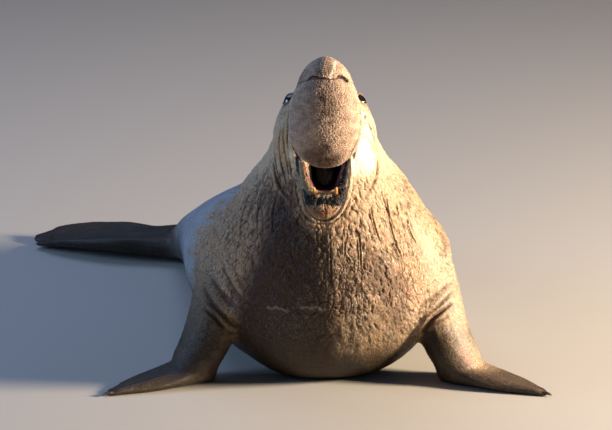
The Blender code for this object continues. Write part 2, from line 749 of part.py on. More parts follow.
def build():
    clear_scene()
    group = collection("elephant_seal")
    body = blended_body(group)
    hollows = mouth_cutters(group) + gum_grooves(group)
    hollows += nostril_cutters(group) + ear_cutters(group)
    join(body, hollows, "DIFFERENCE")
    details = lower_teeth(group) + upper_teeth(group)
    for side in (-1, 1):
        details += [lids(side, group)] + claws(side, group)
    join(body, details)
    socket_size = [EYE_RADIUS + PART_GAP] * 3
    join(body, [ball("socket", eye_place(side), socket_size, group) for side in (-1, 1)], "DIFFERENCE")
    ground = box("ground", Vector(), Matrix.Identity(3), (-3, -3, -1), (3, 4, 0), group)
    join(body, [ground], "DIFFERENCE")

    parts = {}

    def part(name, place, turn, low, high):
        parts[name] = part_off(body, name, place, turn, low, high, group)

    part("lower_jaw", JAW_HINGE, along(0, JAW_PITCH), (-0.14, -0.13, 0.19), (0.14, 0.095, 0.6))
    part("proboscis", HEAD, along(0, 0), (-0.3, -0.24, 0.185), (0.3, 0.4, 0.6))
    part("head", Vector((0, 0, 1.04)), along(0, 66), (-0.5, -0.6, 0), (0.5, 0.6, 1))
    for side, name in ((1, "left"), (-1, "right")):
        slope = math.radians(42)
        out = Vector((math.cos(slope) * side, 0, -math.sin(slope)))
        across = Vector((0, 1, 0))
        turn = axes_matrix(out, across, out.cross(across))
        edge = Vector((0.455 * side, 0, 0.205))
        part("fore_flipper_" + name, edge, turn, (0, -0.6, -0.8), (0.8, 0.31, 0.8))
    part("neck", Vector((0, 0.13, 0.78)), along(0, 60), (-0.8, -0.8, 0), (0.8, 0.8, 1))
    part("chest", Vector((-0.05, 0.62, 0.43)), along(4, 20), (-1.2, -1.2, 0), (1.2, 1.2, 2))
    part("trunk", Vector((-0.24, 1.42, 0.28)), along(20, 0), (-1.2, -1.2, 0), (1.2, 1.2, 2))
    part("tail", Vector((-0.685, 2.195, 0.105)), along(222, 0), (-0.045, 0, 0), (0.045, 0.2, 0.2))
    split, swing = Vector((-0.79, 2.06, 0)), 250
    part("hind_flipper_right", split, along(swing, 0), (0, -0.5, 0), (0.6, 0.6, 1.2))
    part("hind_flipper_left", split, along(swing, 0), (-0.6, -0.5, 0), (0, 0.6, 1.2))
    body.name = "rump"
    parts["rump"] = body

    for side, name in ((1, "left"), (-1, "right")):
        parts["eye_" + name] = ball("eye_" + name, eye_place(side), [EYE_RADIUS] * 3, group)
    parts["tongue"] = tongue(group)
    return parts


def main():
    parts = build()
    corners = [obj.matrix_world @ v.co for obj in parts.values() for v in obj.data.vertices]
    low = Vector(min(c[k] for c in corners) for k in range(3))
    high = Vector(max(c[k] for c in corners) for k in range(3))
    shift = Vector((-(low.x + high.x) / 2, -(low.y + high.y) / 2, -low.z))
    finishes = {"proboscis": "nose", "eye_left": "eye", "eye_right": "eye", "tongue": "tongue"}
    for name, obj in parts.items():
        obj.data.transform(Matrix.Translation(shift))
        clean(obj)
        obj.data.materials.clear()
        kind = "flipper" if "flipper" in name or name == "tail" else finishes.get(name, "hide")
        obj.data.materials.append(finish_of(kind))
        obj.data.shade_smooth()
        obj.data.set_sharp_from_angle(angle=math.radians(40))
    print("moved by", *(round(v, 4) for v in shift))
    return shift


SHIFT = main()
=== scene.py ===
# A bull northern elephant seal, life size, reared up on its fore flippers and calling.
# The looks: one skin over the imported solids, short fur, eyes, teeth, claws, whiskers, light and camera.
import math

import bmesh
import bpy
import numpy as np
from mathutils import Matrix, Vector
from mathutils.bvhtree import BVHTree


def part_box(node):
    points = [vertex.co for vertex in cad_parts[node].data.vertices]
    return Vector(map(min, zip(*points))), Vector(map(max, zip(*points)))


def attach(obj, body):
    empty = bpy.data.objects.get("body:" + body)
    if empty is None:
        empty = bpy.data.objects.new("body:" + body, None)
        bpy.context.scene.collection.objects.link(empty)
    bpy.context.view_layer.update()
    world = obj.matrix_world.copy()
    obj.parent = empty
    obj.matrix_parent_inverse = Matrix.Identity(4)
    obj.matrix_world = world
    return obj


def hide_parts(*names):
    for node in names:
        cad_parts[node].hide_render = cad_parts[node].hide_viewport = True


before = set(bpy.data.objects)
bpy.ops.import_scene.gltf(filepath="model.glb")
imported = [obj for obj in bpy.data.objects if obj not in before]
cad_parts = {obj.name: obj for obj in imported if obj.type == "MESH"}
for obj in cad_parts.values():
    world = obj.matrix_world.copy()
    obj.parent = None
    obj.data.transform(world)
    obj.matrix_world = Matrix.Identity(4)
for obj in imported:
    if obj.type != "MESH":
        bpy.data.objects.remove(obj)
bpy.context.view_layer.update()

# Helpers


def colour(hexCode):
    parts = [int(hexCode[k:k + 2], 16) / 255 for k in (1, 3, 5)]
    return (*[c / 12.92 if c <= 0.04045 else ((c + 0.055) / 1.055) ** 2.4 for c in parts], 1.0)


def addNode(tree, kind, inputs={}, **settings):
    # a node with its settings; an input is a value or another node's output to link
    node = tree.nodes.new(kind)
    for name, value in settings.items():
        setattr(node, name, value)
    for key, value in inputs.items():
        if isinstance(value, bpy.types.NodeSocket):
            tree.links.new(value, node.inputs[key])
        else:
            node.inputs[key].default_value = value
    return node


def newMaterial(name, **values):
    material = bpy.data.materials.new(name)
    material.use_nodes = True
    shader = material.node_tree.nodes["Principled BSDF"]
    for key, value in values.items():
        shader.inputs[key.replace("_", " ")].default_value = value
    return material, material.node_tree, shader


def shadeAlong(tree, shader, share, stops):
    # colours in order along a share that goes from 0 to 1
    ringed = addNode(tree, "ShaderNodeValToRGB", {0: share})
    elements = ringed.color_ramp.elements
    for element, (at, code) in zip(elements, (stops[0], stops[-1])):
        element.position, element.color = at, colour(code)
    for at, code in stops[1:-1]:
        elements.new(at).color = colour(code)
    tree.links.new(ringed.outputs[0], shader.inputs["Base Color"])


def shadePatches(tree, shader, size, detail, dark, light):
    # two colours in soft patches about size across; returns the pattern
    pattern = addNode(tree, "ShaderNodeTexNoise", {"Scale": 1 / size, "Detail": detail}).outputs["Fac"]
    mix = {0: pattern, 6: colour(dark), 7: colour(light)}
    mix = addNode(tree, "ShaderNodeMix", mix, data_type="RGBA")
    tree.links.new(mix.outputs[2], shader.inputs["Base Color"])
    return pattern


def linkObject(name, mesh, materials):
    obj = bpy.data.objects.new(name, mesh)
    bpy.context.scene.collection.objects.link(obj)
    for material in materials:
        mesh.materials.append(material)
    return obj


def meshFrom(bm, name):
    mesh = bpy.data.meshes.new(name)
    bm.to_mesh(mesh)
    bm.free()
    return mesh


def vectorsOf(items, field):
    flat = np.empty(len(items) * 3, np.float32)
    items.foreach_get(field, flat)
    return flat.reshape(-1, 3).astype(float)


def pointsOf(mesh):
    return vectorsOf(mesh.vertices, "co")


def normalsOf(mesh):
    return vectorsOf(mesh.vertex_normals, "vector")


def setPoints(mesh, points):
    mesh.vertices.foreach_set("co", points.astype(np.float32).ravel())
    mesh.update()


def ramp(values, low, high):
    # 0 at low, 1 at high, smooth between
    t = np.clip((values - low) / (high - low), 0.0, 1.0)
    return t * t * (3 - 2 * t)


def unit(vectors):
    return vectors / np.maximum(np.linalg.norm(vectors, axis=-1, keepdims=True), 1e-12)


def smoothPath(rows, count=None, step=None):
    # a smooth curve through rows, evenly spaced along its length
    at = np.concatenate([[0], np.cumsum(np.linalg.norm(np.diff(rows[:, :3], axis=0), axis=1))])
    slopes = np.gradient(rows, at, axis=0)
    wanted = np.linspace(0, at[-1], count) if count else np.arange(0, at[-1], step)
    index = np.clip(np.searchsorted(at, wanted, side="right") - 1, 0, len(at) - 2)
    span = (at[index + 1] - at[index])[:, None]
    t = (wanted - at[index])[:, None] / span
    return wanted, (
        (2 * t**3 - 3 * t**2 + 1) * rows[index] + (t**3 - 2 * t**2 + t) * span * slopes[index]
        + (3 * t**2 - 2 * t**3) * rows[index + 1] + (t**3 - t**2) * span * slopes[index + 1]
    )


def cornerValues(cells, seed):
    # the same draw for the same cell each time, from -1 to 1
    x, y, z = (cells[..., k].astype(np.int64) for k in range(3))
    mixed = (x * 374761393 + y * 668265263 + z * 1274126177 + seed * 974711) & 0xFFFFFFFF
    mixed = ((mixed ^ (mixed >> 13)) * 1103515245) & 0xFFFFFFFF
    mixed = ((mixed ^ (mixed >> 15)) * 2246822519) & 0xFFFFFFFF
    return ((mixed ^ (mixed >> 16)) & 0xFFFF) / 32767.5 - 1.0


def softNoise(points, size, seed=0):
    # smooth noise with lumps about size across, size one number or one for each axis
    scaled = points / np.array(size, float)
    cells = np.floor(scaled)
    t = scaled - cells
    t = t * t * t * (t * (t * 6 - 15) + 10)
    total = np.zeros(len(points))
    for corner in range(8):
        step = np.array([corner & 1, corner >> 1 & 1, corner >> 2 & 1])
        weight = np.prod(np.where(step == 1, t, 1 - t), axis=1)
        total += weight * cornerValues(cells + step, seed)
    return total


def noiseRows(points, size, seed, count):
    # different draws of the same noise, side by side
    return np.stack([softNoise(points, size, seed + k) for k in range(count)], axis=1)


def crackNoise(points, size, seed=0):
    # 0 on the lines between cells about size across, up to about 1 in their middles
    scaled = points / np.array(size, float)
    cells = np.floor(scaled)
    nearest = np.full(len(points), 9.0)
    second = np.full(len(points), 9.0)
    for k in range(27):
        cell = cells + np.array([k % 3 - 1, k // 3 % 3 - 1, k // 9 - 1])
        place = cell + 0.5 + 0.45 * np.stack([cornerValues(cell, seed + j) for j in (1, 2, 3)], axis=1)
        away = np.sqrt(((place - scaled) ** 2).sum(axis=1))
        second = np.minimum(second, np.maximum(nearest, away))
        nearest = np.minimum(nearest, away)
    return second - nearest


# Places: the solids' own directions, found again from the eyes

headPitch = 40.0  # degrees that the muzzle points above the horizon
jawPitch = -35.0
plan = {
    "head": Vector((-0.011, -0.12, 1.317)),  # the head's middle, in the plan that all places below use
    "eyeLift": 0.006,
    "eyeRadius": 0.040,
    "eyeLook": (0.58, 0.30, 0.75),  # forward, up and sideways
    "jawDrop": 0.156,
}


def directions(pitch):
    p = math.radians(pitch)
    forward = Vector((0.0, -math.cos(p), math.sin(p)))
    side = Vector((1.0, 0.0, 0.0))
    return forward, side, forward.cross(side)


headForward, headSide, headUp = directions(headPitch)
jawForward, jawSide, jawUp = directions(jawPitch)
eyeMiddles = {side: sum(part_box("eye_" + name), Vector()) / 2 for side, name in ((1, "left"), (-1, "right"))}
headMiddle = (eyeMiddles[1] + eyeMiddles[-1]) / 2 - headUp * plan["eyeLift"]
offset = headMiddle - plan["head"]  # from the plan to the frame
jawHinge = headMiddle - Vector((0.0, 0.0, plan["jawDrop"]))


def headPoint(forward, up, side=0.0):
    return headMiddle + headForward * forward + headUp * up + headSide * side


def jawPoint(forward, up, side=0.0):
    return jawHinge + jawForward * forward + jawUp * up + jawSide * side


def eyeLookOf(side):
    forward, up, across = plan["eyeLook"]
    return (headForward * forward + headUp * up + headSide * across * side).normalized()


# Camera: the photograph's view, low and from the front, with a long lens

shot = {
    "target": Vector((-0.0935, 0.1959, 0.7310)) + offset,
    "elevation": 15.0,  # degrees
    "distance": 16.0,  # metres
    "lens": 208.94,  # millimetres, as the sensor
    "sensor": 36.0,
    "frame": (612, 430),  # pixels of the photograph
}


def makeCamera():
    data = bpy.data.cameras.new("camera")
    data.lens, data.sensor_width = shot["lens"], shot["sensor"]
    data.clip_end = 200.0
    camera = bpy.data.objects.new("camera", data)
    bpy.context.scene.collection.objects.link(camera)
    tilt = math.radians(shot["elevation"])
    camera.location = shot["target"] + Vector((0, -math.cos(tilt), math.sin(tilt))) * shot["distance"]
    camera.rotation_euler = (math.radians(90) - tilt, 0, 0)
    bpy.context.scene.camera = camera
    return camera


camera = makeCamera()


def viewAxes():
    tilt = math.radians(shot["elevation"])
    ahead, above = (0, math.cos(tilt), -math.sin(tilt)), (0, math.sin(tilt), math.cos(tilt))
    return np.array(ahead), np.array(above)


def pixelRay(x, y):
    # the way the camera looks through a pixel of the photograph
    ahead, above = viewAxes()
    wide, high = shot["frame"]
    focal = shot["lens"] / shot["sensor"] * wide
    return Vector(ahead * focal + np.array((x - wide / 2, 0, 0)) + above * (high / 2 - y)).normalized()


def pixelsOf(points):
    # where the camera sees points, in pixels of the photograph
    ahead, above = viewAxes()
    wide, high = shot["frame"]
    away = points - np.array(camera.location)
    scale = shot["lens"] / shot["sensor"] * wide / (away @ ahead)
    return np.stack([wide / 2 + away[:, 0] * scale, high / 2 - (away @ above) * scale], axis=1)


print("camera: ready")

# Skin: the flesh solids become one body, evened, folded and creased

skin = {
    "voxel": 0.0060,
    "triangles": 470000,
    "coat": 0.0022,  # how far the skin lies inside the solids
    "flesh": [
        "head", "proboscis", "lower_jaw", "neck", "chest", "trunk", "rump", "tail",
        "fore_flipper_left", "fore_flipper_right", "hind_flipper_left", "hind_flipper_right",
    ],
}

# the middle line of the body from the tail to the head, in the plan's places
bodyLine = [
    (-0.72, 2.27, 0.10), (-0.645, 2.155, 0.12), (-0.56, 2.04, 0.165), (-0.43, 1.82, 0.22),
    (-0.27, 1.45, 0.28), (-0.14, 1.00, 0.34), (-0.05, 0.63, 0.42), (0.0, 0.37, 0.54),
    (0.0, 0.19, 0.71), (-0.002, 0.09, 0.86), (-0.006, 0.03, 1.00), (-0.010, -0.01, 1.12),
    (-0.011, -0.12, 1.28), (-0.011, -0.30, 1.42), (-0.011, -0.48, 1.57),
]
foreLine = [
    (0.36, 0.32, 0.62), (0.45, 0.22, 0.40), (0.53, 0.11, 0.23), (0.60, 0.03, 0.08),
    (0.80, -0.06, 0.03), (1.0, -0.20, 0.015),
]
hindLine = [
    (-0.50, 1.93, 0.12), (-0.76, 2.03, 0.07), (-1.06, 2.12, 0.05), (-1.36, 2.25, 0.03), (-1.52, 2.31, 0.02),
]
noseLine = [
    (0.0, 0.03, -0.02), (0.0, -0.10, 0.085), (0.0, -0.18, 0.152), (0.0, -0.245, 0.163), (0.0, -0.285, 0.105),
    (0.0, -0.30, 0.03), (0.0, -0.305, -0.05), (0.0, -0.30, -0.12), (0.0, -0.295, -0.17), (0.0, -0.29, -0.25),
]
digits = [  # root x, y and tip x, y of each digit of a fore flipper
    (0.58, -0.035, 0.985, -0.200), (0.60, 0.000, 0.965, -0.140), (0.62, 0.040, 0.925, -0.075),
    (0.64, 0.080, 0.870, -0.005), (0.66, 0.115, 0.800, 0.055),
]


class Line:
    # a smooth line through places, that tells where any point lies along and round it
    def __init__(self, places, start=(0.0, 0.0, 0.0), mirror=1, count=160):
        rows = np.array(places, float) * np.array([mirror, 1, 1]) + np.array(start)
        self.at, self.rows = smoothPath(rows, count=count)
        self.ahead = unit(np.gradient(self.rows, axis=0))
        side = np.cross(np.array([0.0, 0.0, 1.0]), self.ahead)
        side[np.linalg.norm(side, axis=1) < 0.05] = (1.0, 0.0, 0.0)
        self.side = unit(side)
        self.up = np.cross(self.ahead, self.side)

    def nearest(self, points):
        found = np.empty(len(points), int)
        for k in range(0, len(points), 40000):
            part = points[k:k + 40000]
            away = (part**2).sum(1)[:, None] - 2 * part @ self.rows.T + (self.rows**2).sum(1)[None]
            found[k:k + 40000] = away.argmin(axis=1)
        return found

    def straighten(self, points):
        # (distance along, sideways, up) of each point, and its way ahead
        k = self.nearest(points)
        away = points - self.rows[k]
        along = self.at[k] + (away * self.ahead[k]).sum(1)
        sideways, lift = (away * self.side[k]).sum(1), (away * self.up[k]).sum(1)
        return np.stack([along, sideways, lift], axis=1), self.ahead[k]


lines = {
    "body": Line(bodyLine, offset),
    "nose": Line(noseLine, headMiddle),
    "foreLeft": Line(foreLine, offset),
    "foreRight": Line(foreLine, offset, -1),
    "hind": Line(hindLine, offset),
}


def joinedFlesh():
    bm = bmesh.new()
    for node in skin["flesh"]:
        bm.from_mesh(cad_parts[node].data)
    bmesh.ops.remove_doubles(bm, verts=bm.verts, dist=0.00005)
    bm.normal_update()
    for vertex in bm.verts:
        vertex.co += vertex.normal * 0.0004  # closes the thin gaps between the nodes
    for middle in eyeMiddles.values():  # fills the sockets, so that the lids can be shaped over the eyeballs
        bmesh.ops.create_icosphere(
            bm, subdivisions=4, radius=plan["eyeRadius"] + 0.0015, matrix=Matrix.Translation(middle)
        )
    return meshFrom(bm, "flesh")


def withModifier(mesh, kind, **settings):
    # the mesh as a modifier leaves it
    obj = bpy.data.objects.new("work", mesh)
    bpy.context.scene.collection.objects.link(obj)
    modifier = obj.modifiers.new(kind.lower(), kind)
    for name, value in settings.items():
        setattr(modifier, name, value)
    graph = bpy.context.evaluated_depsgraph_get()
    made = bpy.data.meshes.new_from_object(obj.evaluated_get(graph))
    bpy.data.objects.remove(obj)
    return made


class Evener:
    # moves points towards their neighbours' middle, and half of them back, so that forms don't shrink
    def __init__(self, mesh):
        edges = np.empty(len(mesh.edges) * 2, np.int32)
        mesh.edges.foreach_get("vertices", edges)
        self.a, self.b = edges.reshape(-1, 2).T
        self.count = len(mesh.vertices)
        self.share = np.bincount(self.a, minlength=self.count) + np.bincount(self.b, minlength=self.count)

    def mean(self, values):
        total = np.bincount(self.a, values[self.b], self.count)
        total += np.bincount(self.b, values[self.a], self.count)
        return total / np.maximum(self.share, 1)

    def even(self, points, weight, rounds, back=0.0):
        for turn in range(rounds):
            step = weight * (-back if back and turn % 2 else 1.0)
            for k in range(3):
                points[:, k] += (self.mean(points[:, k]) - points[:, k]) * step
        return points


def finer(mesh, wanted):
    # cuts each face whose corners are all wanted into four
    bm = bmesh.new()
    bm.from_mesh(mesh)
    flags = wanted.tolist()
    picked = [e for e in bm.edges if flags[e.verts[0].index] and flags[e.verts[1].index]]
    bmesh.ops.subdivide_edges(bm, edges=picked, cuts=1, use_grid_fill=True)
    made = meshFrom(bm, "finer")
    bpy.data.meshes.remove(mesh)
    return made


def inPlan(points):
    return points - np.array(offset)


def inHead(points):
    # forward, up and sideways from the head's middle
    return (points - np.array(headMiddle)) @ np.array([headForward, headUp, headSide]).T


def inJaw(points):
    return (points - np.array(jawHinge)) @ np.array([jawForward, jawUp, jawSide]).T


def regionsOf(points):
    # where each point is on the animal, as shares from 0 to 1
    x, y, z = inPlan(points).T
    forward = inHead(points)[:, 0]
    front = 1.0 - ramp(y, 0.40, 0.60)
    region = {}
    region["head"] = ramp(z + 0.25 * y, 0.92, 1.08) * front
    region["hand"] = (1 - ramp(z, 0.10, 0.24)) * ramp(np.abs(x), 0.44, 0.52) * front
    region["arm"] = (1 - ramp(z, 0.30, 0.55)) * ramp(np.abs(x) + 0.30 * (0.4 - z), 0.44, 0.54) * front
    region["hind"] = ramp(-x - 0.25 * (2.05 - y), 0.60, 0.80) * ramp(y, 1.6, 1.75)
    nose = points - np.array(headMiddle)
    region["bulb"] = ramp(-nose[:, 1], 0.205, 0.245) * ramp(nose[:, 2], -0.245, -0.215)
    region["bulb"] *= ramp(-nose[:, 1] - 0.9 * np.maximum(np.abs(nose[:, 0]) - 0.12, 0), 0.20, 0.225)
    region["face"] = ramp(forward, -0.16, 0.02) * ramp(z - plan["head"].z, -0.45, -0.30) * front
    return region


def limbShares(region, x):
    # each limb's line and its share on every point
    arm = region["arm"]
    return ("foreLeft", arm * (x > 0)), ("foreRight", arm * (x < 0)), ("hind", region["hind"])


def teethAxes():
    # root, tip and radius of each tooth that shows
    axes = []
    for side in (-1, 1):
        axes.append((jawPoint(0.336, -0.004, 0.043 * side), jawPoint(0.340, 0.072, 0.049 * side), 0.0105))
        axes.append((jawPoint(0.342, 0.0, 0.016 * side), jawPoint(0.347, 0.038, 0.017 * side), 0.0045))
        for k in range(4):
            along, across = 0.170 + 0.036 * k, (0.0735 - 0.0006 * k**2) * side
            axes.append((jawPoint(along, 0.005, across), jawPoint(along, 0.041, across), 0.0050))
        axes.append((headPoint(0.232, -0.145, 0.048 * side), headPoint(0.240, -0.232, 0.054 * side), 0.0115))
    return axes


def clawAxes():
    # root and tip of each claw
    axes = []
    for side in (-1, 1):
        for rootX, rootY, tipX, tipY in digits:
            reach = Vector((side * (tipX - rootX), tipY - rootY, 0.0)).normalized()
            end = Vector((side * tipX, tipY, 0.0)) + offset
            root = end - reach * 0.034 + Vector((0, 0, 0.0135))
            tip = end + reach * 0.018 + Vector((0, 0, 0.008))
            axes.append((root, tip))
    return axes


def pressIn(points, root, tip, radius, level):
    # what stands up round an axis is brought down to a level on it, as a finer piece stands there later
    root, tip = np.array(root), np.array(tip)
    reach = np.linalg.norm(tip - root)
    axis = (tip - root) / reach
    along = (points - root) @ axis
    away = np.linalg.norm(points - root - along[:, None] * axis, axis=1)
    hit = (away < radius) & (along > level * reach) & (along < reach * 1.4)
    points[hit] -= axis * (along[hit] - level * reach)[:, None]
    return points


def makeSkinBase():
    mesh = withModifier(joinedFlesh(), "REMESH", mode="VOXEL", voxel_size=skin["voxel"])
    points = pointsOf(mesh)
    for root, tip, radius in teethAxes():
        points = pressIn(points, root, tip, radius * 1.9, 0.42)
    for root, tip in clawAxes():
        points = pressIn(points, root, tip, 0.014, 0.55)
    region = regionsOf(points)
    scale = (0.0060 / skin["voxel"]) ** 2
    # thin and detailed parts keep more of their shape
    keep = np.maximum.reduce([region["head"] * 0.75, region["hand"] * 0.90, region["hind"] * 0.85])
    evener = Evener(mesh)
    points = evener.even(points, 0.5 * (1 - keep), int(70 * scale))
    points = evener.even(points, 0.5 * (1 - fineDetail(points)), 2 * int(16 * scale), 0.95)
    setPoints(mesh, points)
    # the head, then its lids, lips and slots, get a closer net
    for level, zone in enumerate((closeZone, fineDetail)):
        mesh = finer(mesh, zone(pointsOf(mesh)) > 0.25)
        points = pointsOf(mesh)
        weight = 0.5 * np.minimum(zone(points) * 2, 1) * (1 - 0.6 * level)
        setPoints(mesh, Evener(mesh).even(points, weight, 6 - 2 * level))
    return mesh


def closeZone(points):
    # 1 on the head, throat and chest, which show the finest folds
    x, y, z = inPlan(points).T
    head = ramp(z + 0.25 * y, 0.88, 0.96) * (1 - ramp(y, 0.14, 0.24))
    chest = (1 - ramp(y, -0.02, 0.06)) * ramp(z, 0.34, 0.44) * (1 - ramp(np.abs(x), 0.44, 0.50))
    return np.maximum(head, chest)


def fineDetail(points):
    # 1 where small forms need to stay crisp: lids, lips, mouth, nostrils and the fold of the nose
    detail = np.zeros(len(points))
    for middle in eyeMiddles.values():
        away = np.linalg.norm(points - np.array(middle), axis=1)
        detail = np.maximum(detail, 1 - ramp(away, 0.062, 0.078))
    along, lift, _ = inJaw(points).T
    lip = ramp(along, 0.05, 0.12) * ramp(lift, -0.060, -0.035)
    detail = np.maximum(detail, lip * (1 - ramp(lift, 0.10, 0.16)))
    nose = points - np.array(headMiddle)
    fold = 1 - ramp(np.abs(nose[:, 2] - 0.205 + 0.16 * np.abs(nose[:, 0])), 0.02, 0.035)
    detail = np.maximum(detail, fold * ramp(-nose[:, 1], 0.24, 0.28) * 0.8)
    nostril = np.linalg.norm(nose - np.array([0.0, -0.318, -0.196]), axis=1)
    return np.maximum(detail, 1 - ramp(nostril, 0.05, 0.07)) * 0.94


skinMesh = makeSkinBase()
print("skin: base of", len(skinMesh.vertices), "points")


# Folds: lines seen in the photograph, laid on the skin where the camera sees them.
# Each has its pixels, its width and depth in millimetres, and which side bulges over it.

photoFolds = {
    "armpitDeep": ([(422, 334), (428.6, 323), (434.3, 317), (443, 309.5), (454, 301.5)], 9, 15, 0.6),
    "armpitSecond": ([(426, 328), (431, 324.5), (438.6, 320.5), (448.6, 315)], 7, 6, 0.4),
    "armpitHigh": ([(428, 316), (436, 308), (444, 300), (455, 289)], 9, 7, 0.3),
    "armpitHigher": ([(420, 309), (430, 299), (440, 291), (452, 279)], 10, 6, 0.2),
    "shoulderA": ([(207, 272), (213, 281), (221, 292), (232, 305), (243, 313.5)], 11, 9, 0.5),
    "shoulderB": ([(203, 287), (208, 296), (217, 309), (229, 321), (239, 328)], 11, 9, 0.5),
    "shoulderC": ([(220, 262), (226, 276), (233, 289), (241, 300), (247, 305)], 11, 8, 0.5),
    "shoulderD": ([(216, 318), (224, 326), (232, 333), (238, 336)], 8, 5, 0.3),
    "shoulderE": ([(230, 262), (236, 276), (243, 290), (250, 298)], 10, 4, 0.2),
    "elbow": ([(205, 352), (214, 358), (224, 362)], 9, 3, 0.0),
    "noseFold": ([(296.5, 82.6), (303, 80.6), (310.7, 79.0), (320, 77.9), (330, 78.4), (338, 77.6),
                  (347, 81.6), (354.5, 85.5)], 4, 6, 0.5),
    "noseSlotLeft": ([(307, 79.6), (311.5, 76.8), (318.5, 76.6)], 4, 7, 0.0),
    "noseSlotRight": ([(336.5, 75.6), (341.5, 76.6), (345.5, 79.6), (348.5, 82)], 5, 11, 0.0),
    "bulbEdgeLeft": ([(290.3, 104), (287.6, 120), (289.6, 137), (294, 150), (301, 161)], 5, 10, 0.5),
    "bulbEdgeRight": ([(359.6, 103), (361.8, 121), (360.2, 135), (355, 147), (348.5, 160)], 5, 8, -0.5),
    "cheekALeft": ([(291, 110), (286, 117), (281.5, 126), (277.5, 136)], 4, 6, -0.3),
    "cheekBLeft": ([(288, 126), (286.5, 138), (288, 152), (289.5, 166), (292.5, 180)], 4.5, 8, -0.3),
    "cheekCLeft": ([(284.5, 121), (282.5, 133), (283.5, 147), (286, 161), (288.5, 176)], 4, 7, -0.4),
    "cheekDLeft": ([(280.5, 127), (278.5, 140), (279, 154), (281.5, 168), (286, 184)], 4.5, 8, -0.4),
    "cheekELeft": ([(276, 136), (274.3, 148), (275, 163), (278.5, 178), (284, 190)], 4.5, 6, -0.4),
    "jowlLeft": ([(272.5, 160), (275, 176), (281, 190), (290, 199)], 7, 11, -0.5),
    "cheekARight": ([(362.5, 108), (368.3, 121), (372.6, 133), (375.6, 146), (376.6, 160)], 4.5, 7, 0.4),
    "cheekBRight": ([(360.5, 121), (365.5, 131), (371, 143), (373.8, 157), (372.6, 172)], 4, 6, 0.3),
    "cheekCRight": ([(366, 110), (371, 121), (375.5, 132), (378, 142)], 4, 5, 0.3),
    "jowlRight": ([(379, 158), (377, 174), (371, 188), (364, 198)], 7, 8, 0.5),
    "chinNear": ([(294.6, 176), (296, 193), (301, 209), (308.5, 219.5), (319, 224), (331, 222.8),
                  (341.5, 215), (348, 204), (352, 190), (353.5, 176)], 4, 5, 0.4),
    "chinMiddle": ([(293, 199), (300, 216), (311, 226.5), (324, 229.5), (338, 225.5), (349, 214), (356, 199)],
                   6, 2.6, 0.3),
    "chinFar": ([(290, 207), (299, 224), (314, 234.5), (331, 236), (347, 228), (359, 213)], 8, 2.2, 0.2),
    "chestSlitA": ([(360, 238), (361, 255), (361.5, 271)], 2.8, 13, 0.0),
    "chestSlitB": ([(345, 241), (345, 256)], 2.8, 13, 0.0),
    "chestSlitC": ([(387, 197), (390, 222), (395, 240), (402, 258)], 3.5, 13, 0.2),
    "chestSlitD": ([(396, 202), (399, 216)], 2.8, 13, 0.0),
    "chestSlitE": ([(329.5, 231), (330.5, 250), (331, 270), (331, 290)], 3.5, 5, 0.0),
    "chestSlitF": ([(371, 206), (374, 224), (380, 240)], 2.8, 13, 0.0),
    "chestSlitG": ([(407, 216), (410, 232), (417, 246)], 2.8, 13, 0.0),
    "neckLineA": ([(381, 190), (389, 214), (396, 232)], 4, 6, 0.2),
    "neckLineB": ([(404, 205), (411, 224), (416, 240)], 4, 5, 0.2),
    "neckLineC": ([(262, 190), (257, 212), (256, 232)], 5, 6, -0.2),
    "neckLineD": ([(246, 200), (240, 222), (240, 244)], 5, 6, -0.2),
    "neckLineE": ([(275, 196), (272, 214), (272, 236)], 5, 6, -0.2),
}

foldsOnBothSides = ("armpitDeep", "armpitSecond")  # the hidden side of the animal has them too

hide = {
    "slits": 0.0050,  # depth of the short grooves along the neck and shield
    "fineSlits": 0.0030,
    "plates": 0.0040,  # depth of the lines between the callused plates of the chest
    "ripples": 0.0020,  # between the grooves
    "longRipples": 0.0012,
    "rolls": 0.006,  # soft waves of the blubber
    "napeRolls": 0.012,
    "napeSpacing": 0.075,
    "tailSeams": 0.003,
    "flipperWrinkles": 0.0011,
    "nosePebbles": 0.0016,
    "noseRings": (0.0004, 0.0024),  # everywhere, and more at the sides
    "noseLumps": 0.0035,
    "wander": (0.02, 0.012, 0.012),  # how far the grooves leave a straight line
}


def boundTree(mesh):
    obj = bpy.data.objects.new("tree", mesh)
    bpy.context.scene.collection.objects.link(obj)
    tree = BVHTree.FromObject(obj, bpy.context.evaluated_depsgraph_get())
    bpy.data.objects.remove(obj)
    return tree


def onSkin(tree, x, y):
    # the place on the skin under a pixel of the photograph
    return tree.ray_cast(camera.location, pixelRay(x, y))[0]


def ontoSkin(tree, pixels, spacing=0.003):
    # a line of pixels, as close points on the skin
    found = []
    for x, y in smoothPath(np.array(pixels, float), step=0.6)[1]:
        place = onSkin(tree, x, y)
        if place is not None and (not found or (place - found[-1]).length < 0.12):
            found.append(place)
    found = np.array(found)
    steps = np.concatenate([[0], np.cumsum(np.linalg.norm(np.diff(found, axis=0), axis=1))])
    even = np.arange(0, steps[-1], spacing)
    return np.stack([np.interp(even, steps, found[:, k]) for k in range(3)], axis=1)


def mirrored(places):
    flipped = places.copy()
    flipped[:, 0] = 2 * headMiddle.x - flipped[:, 0]
    return flipped


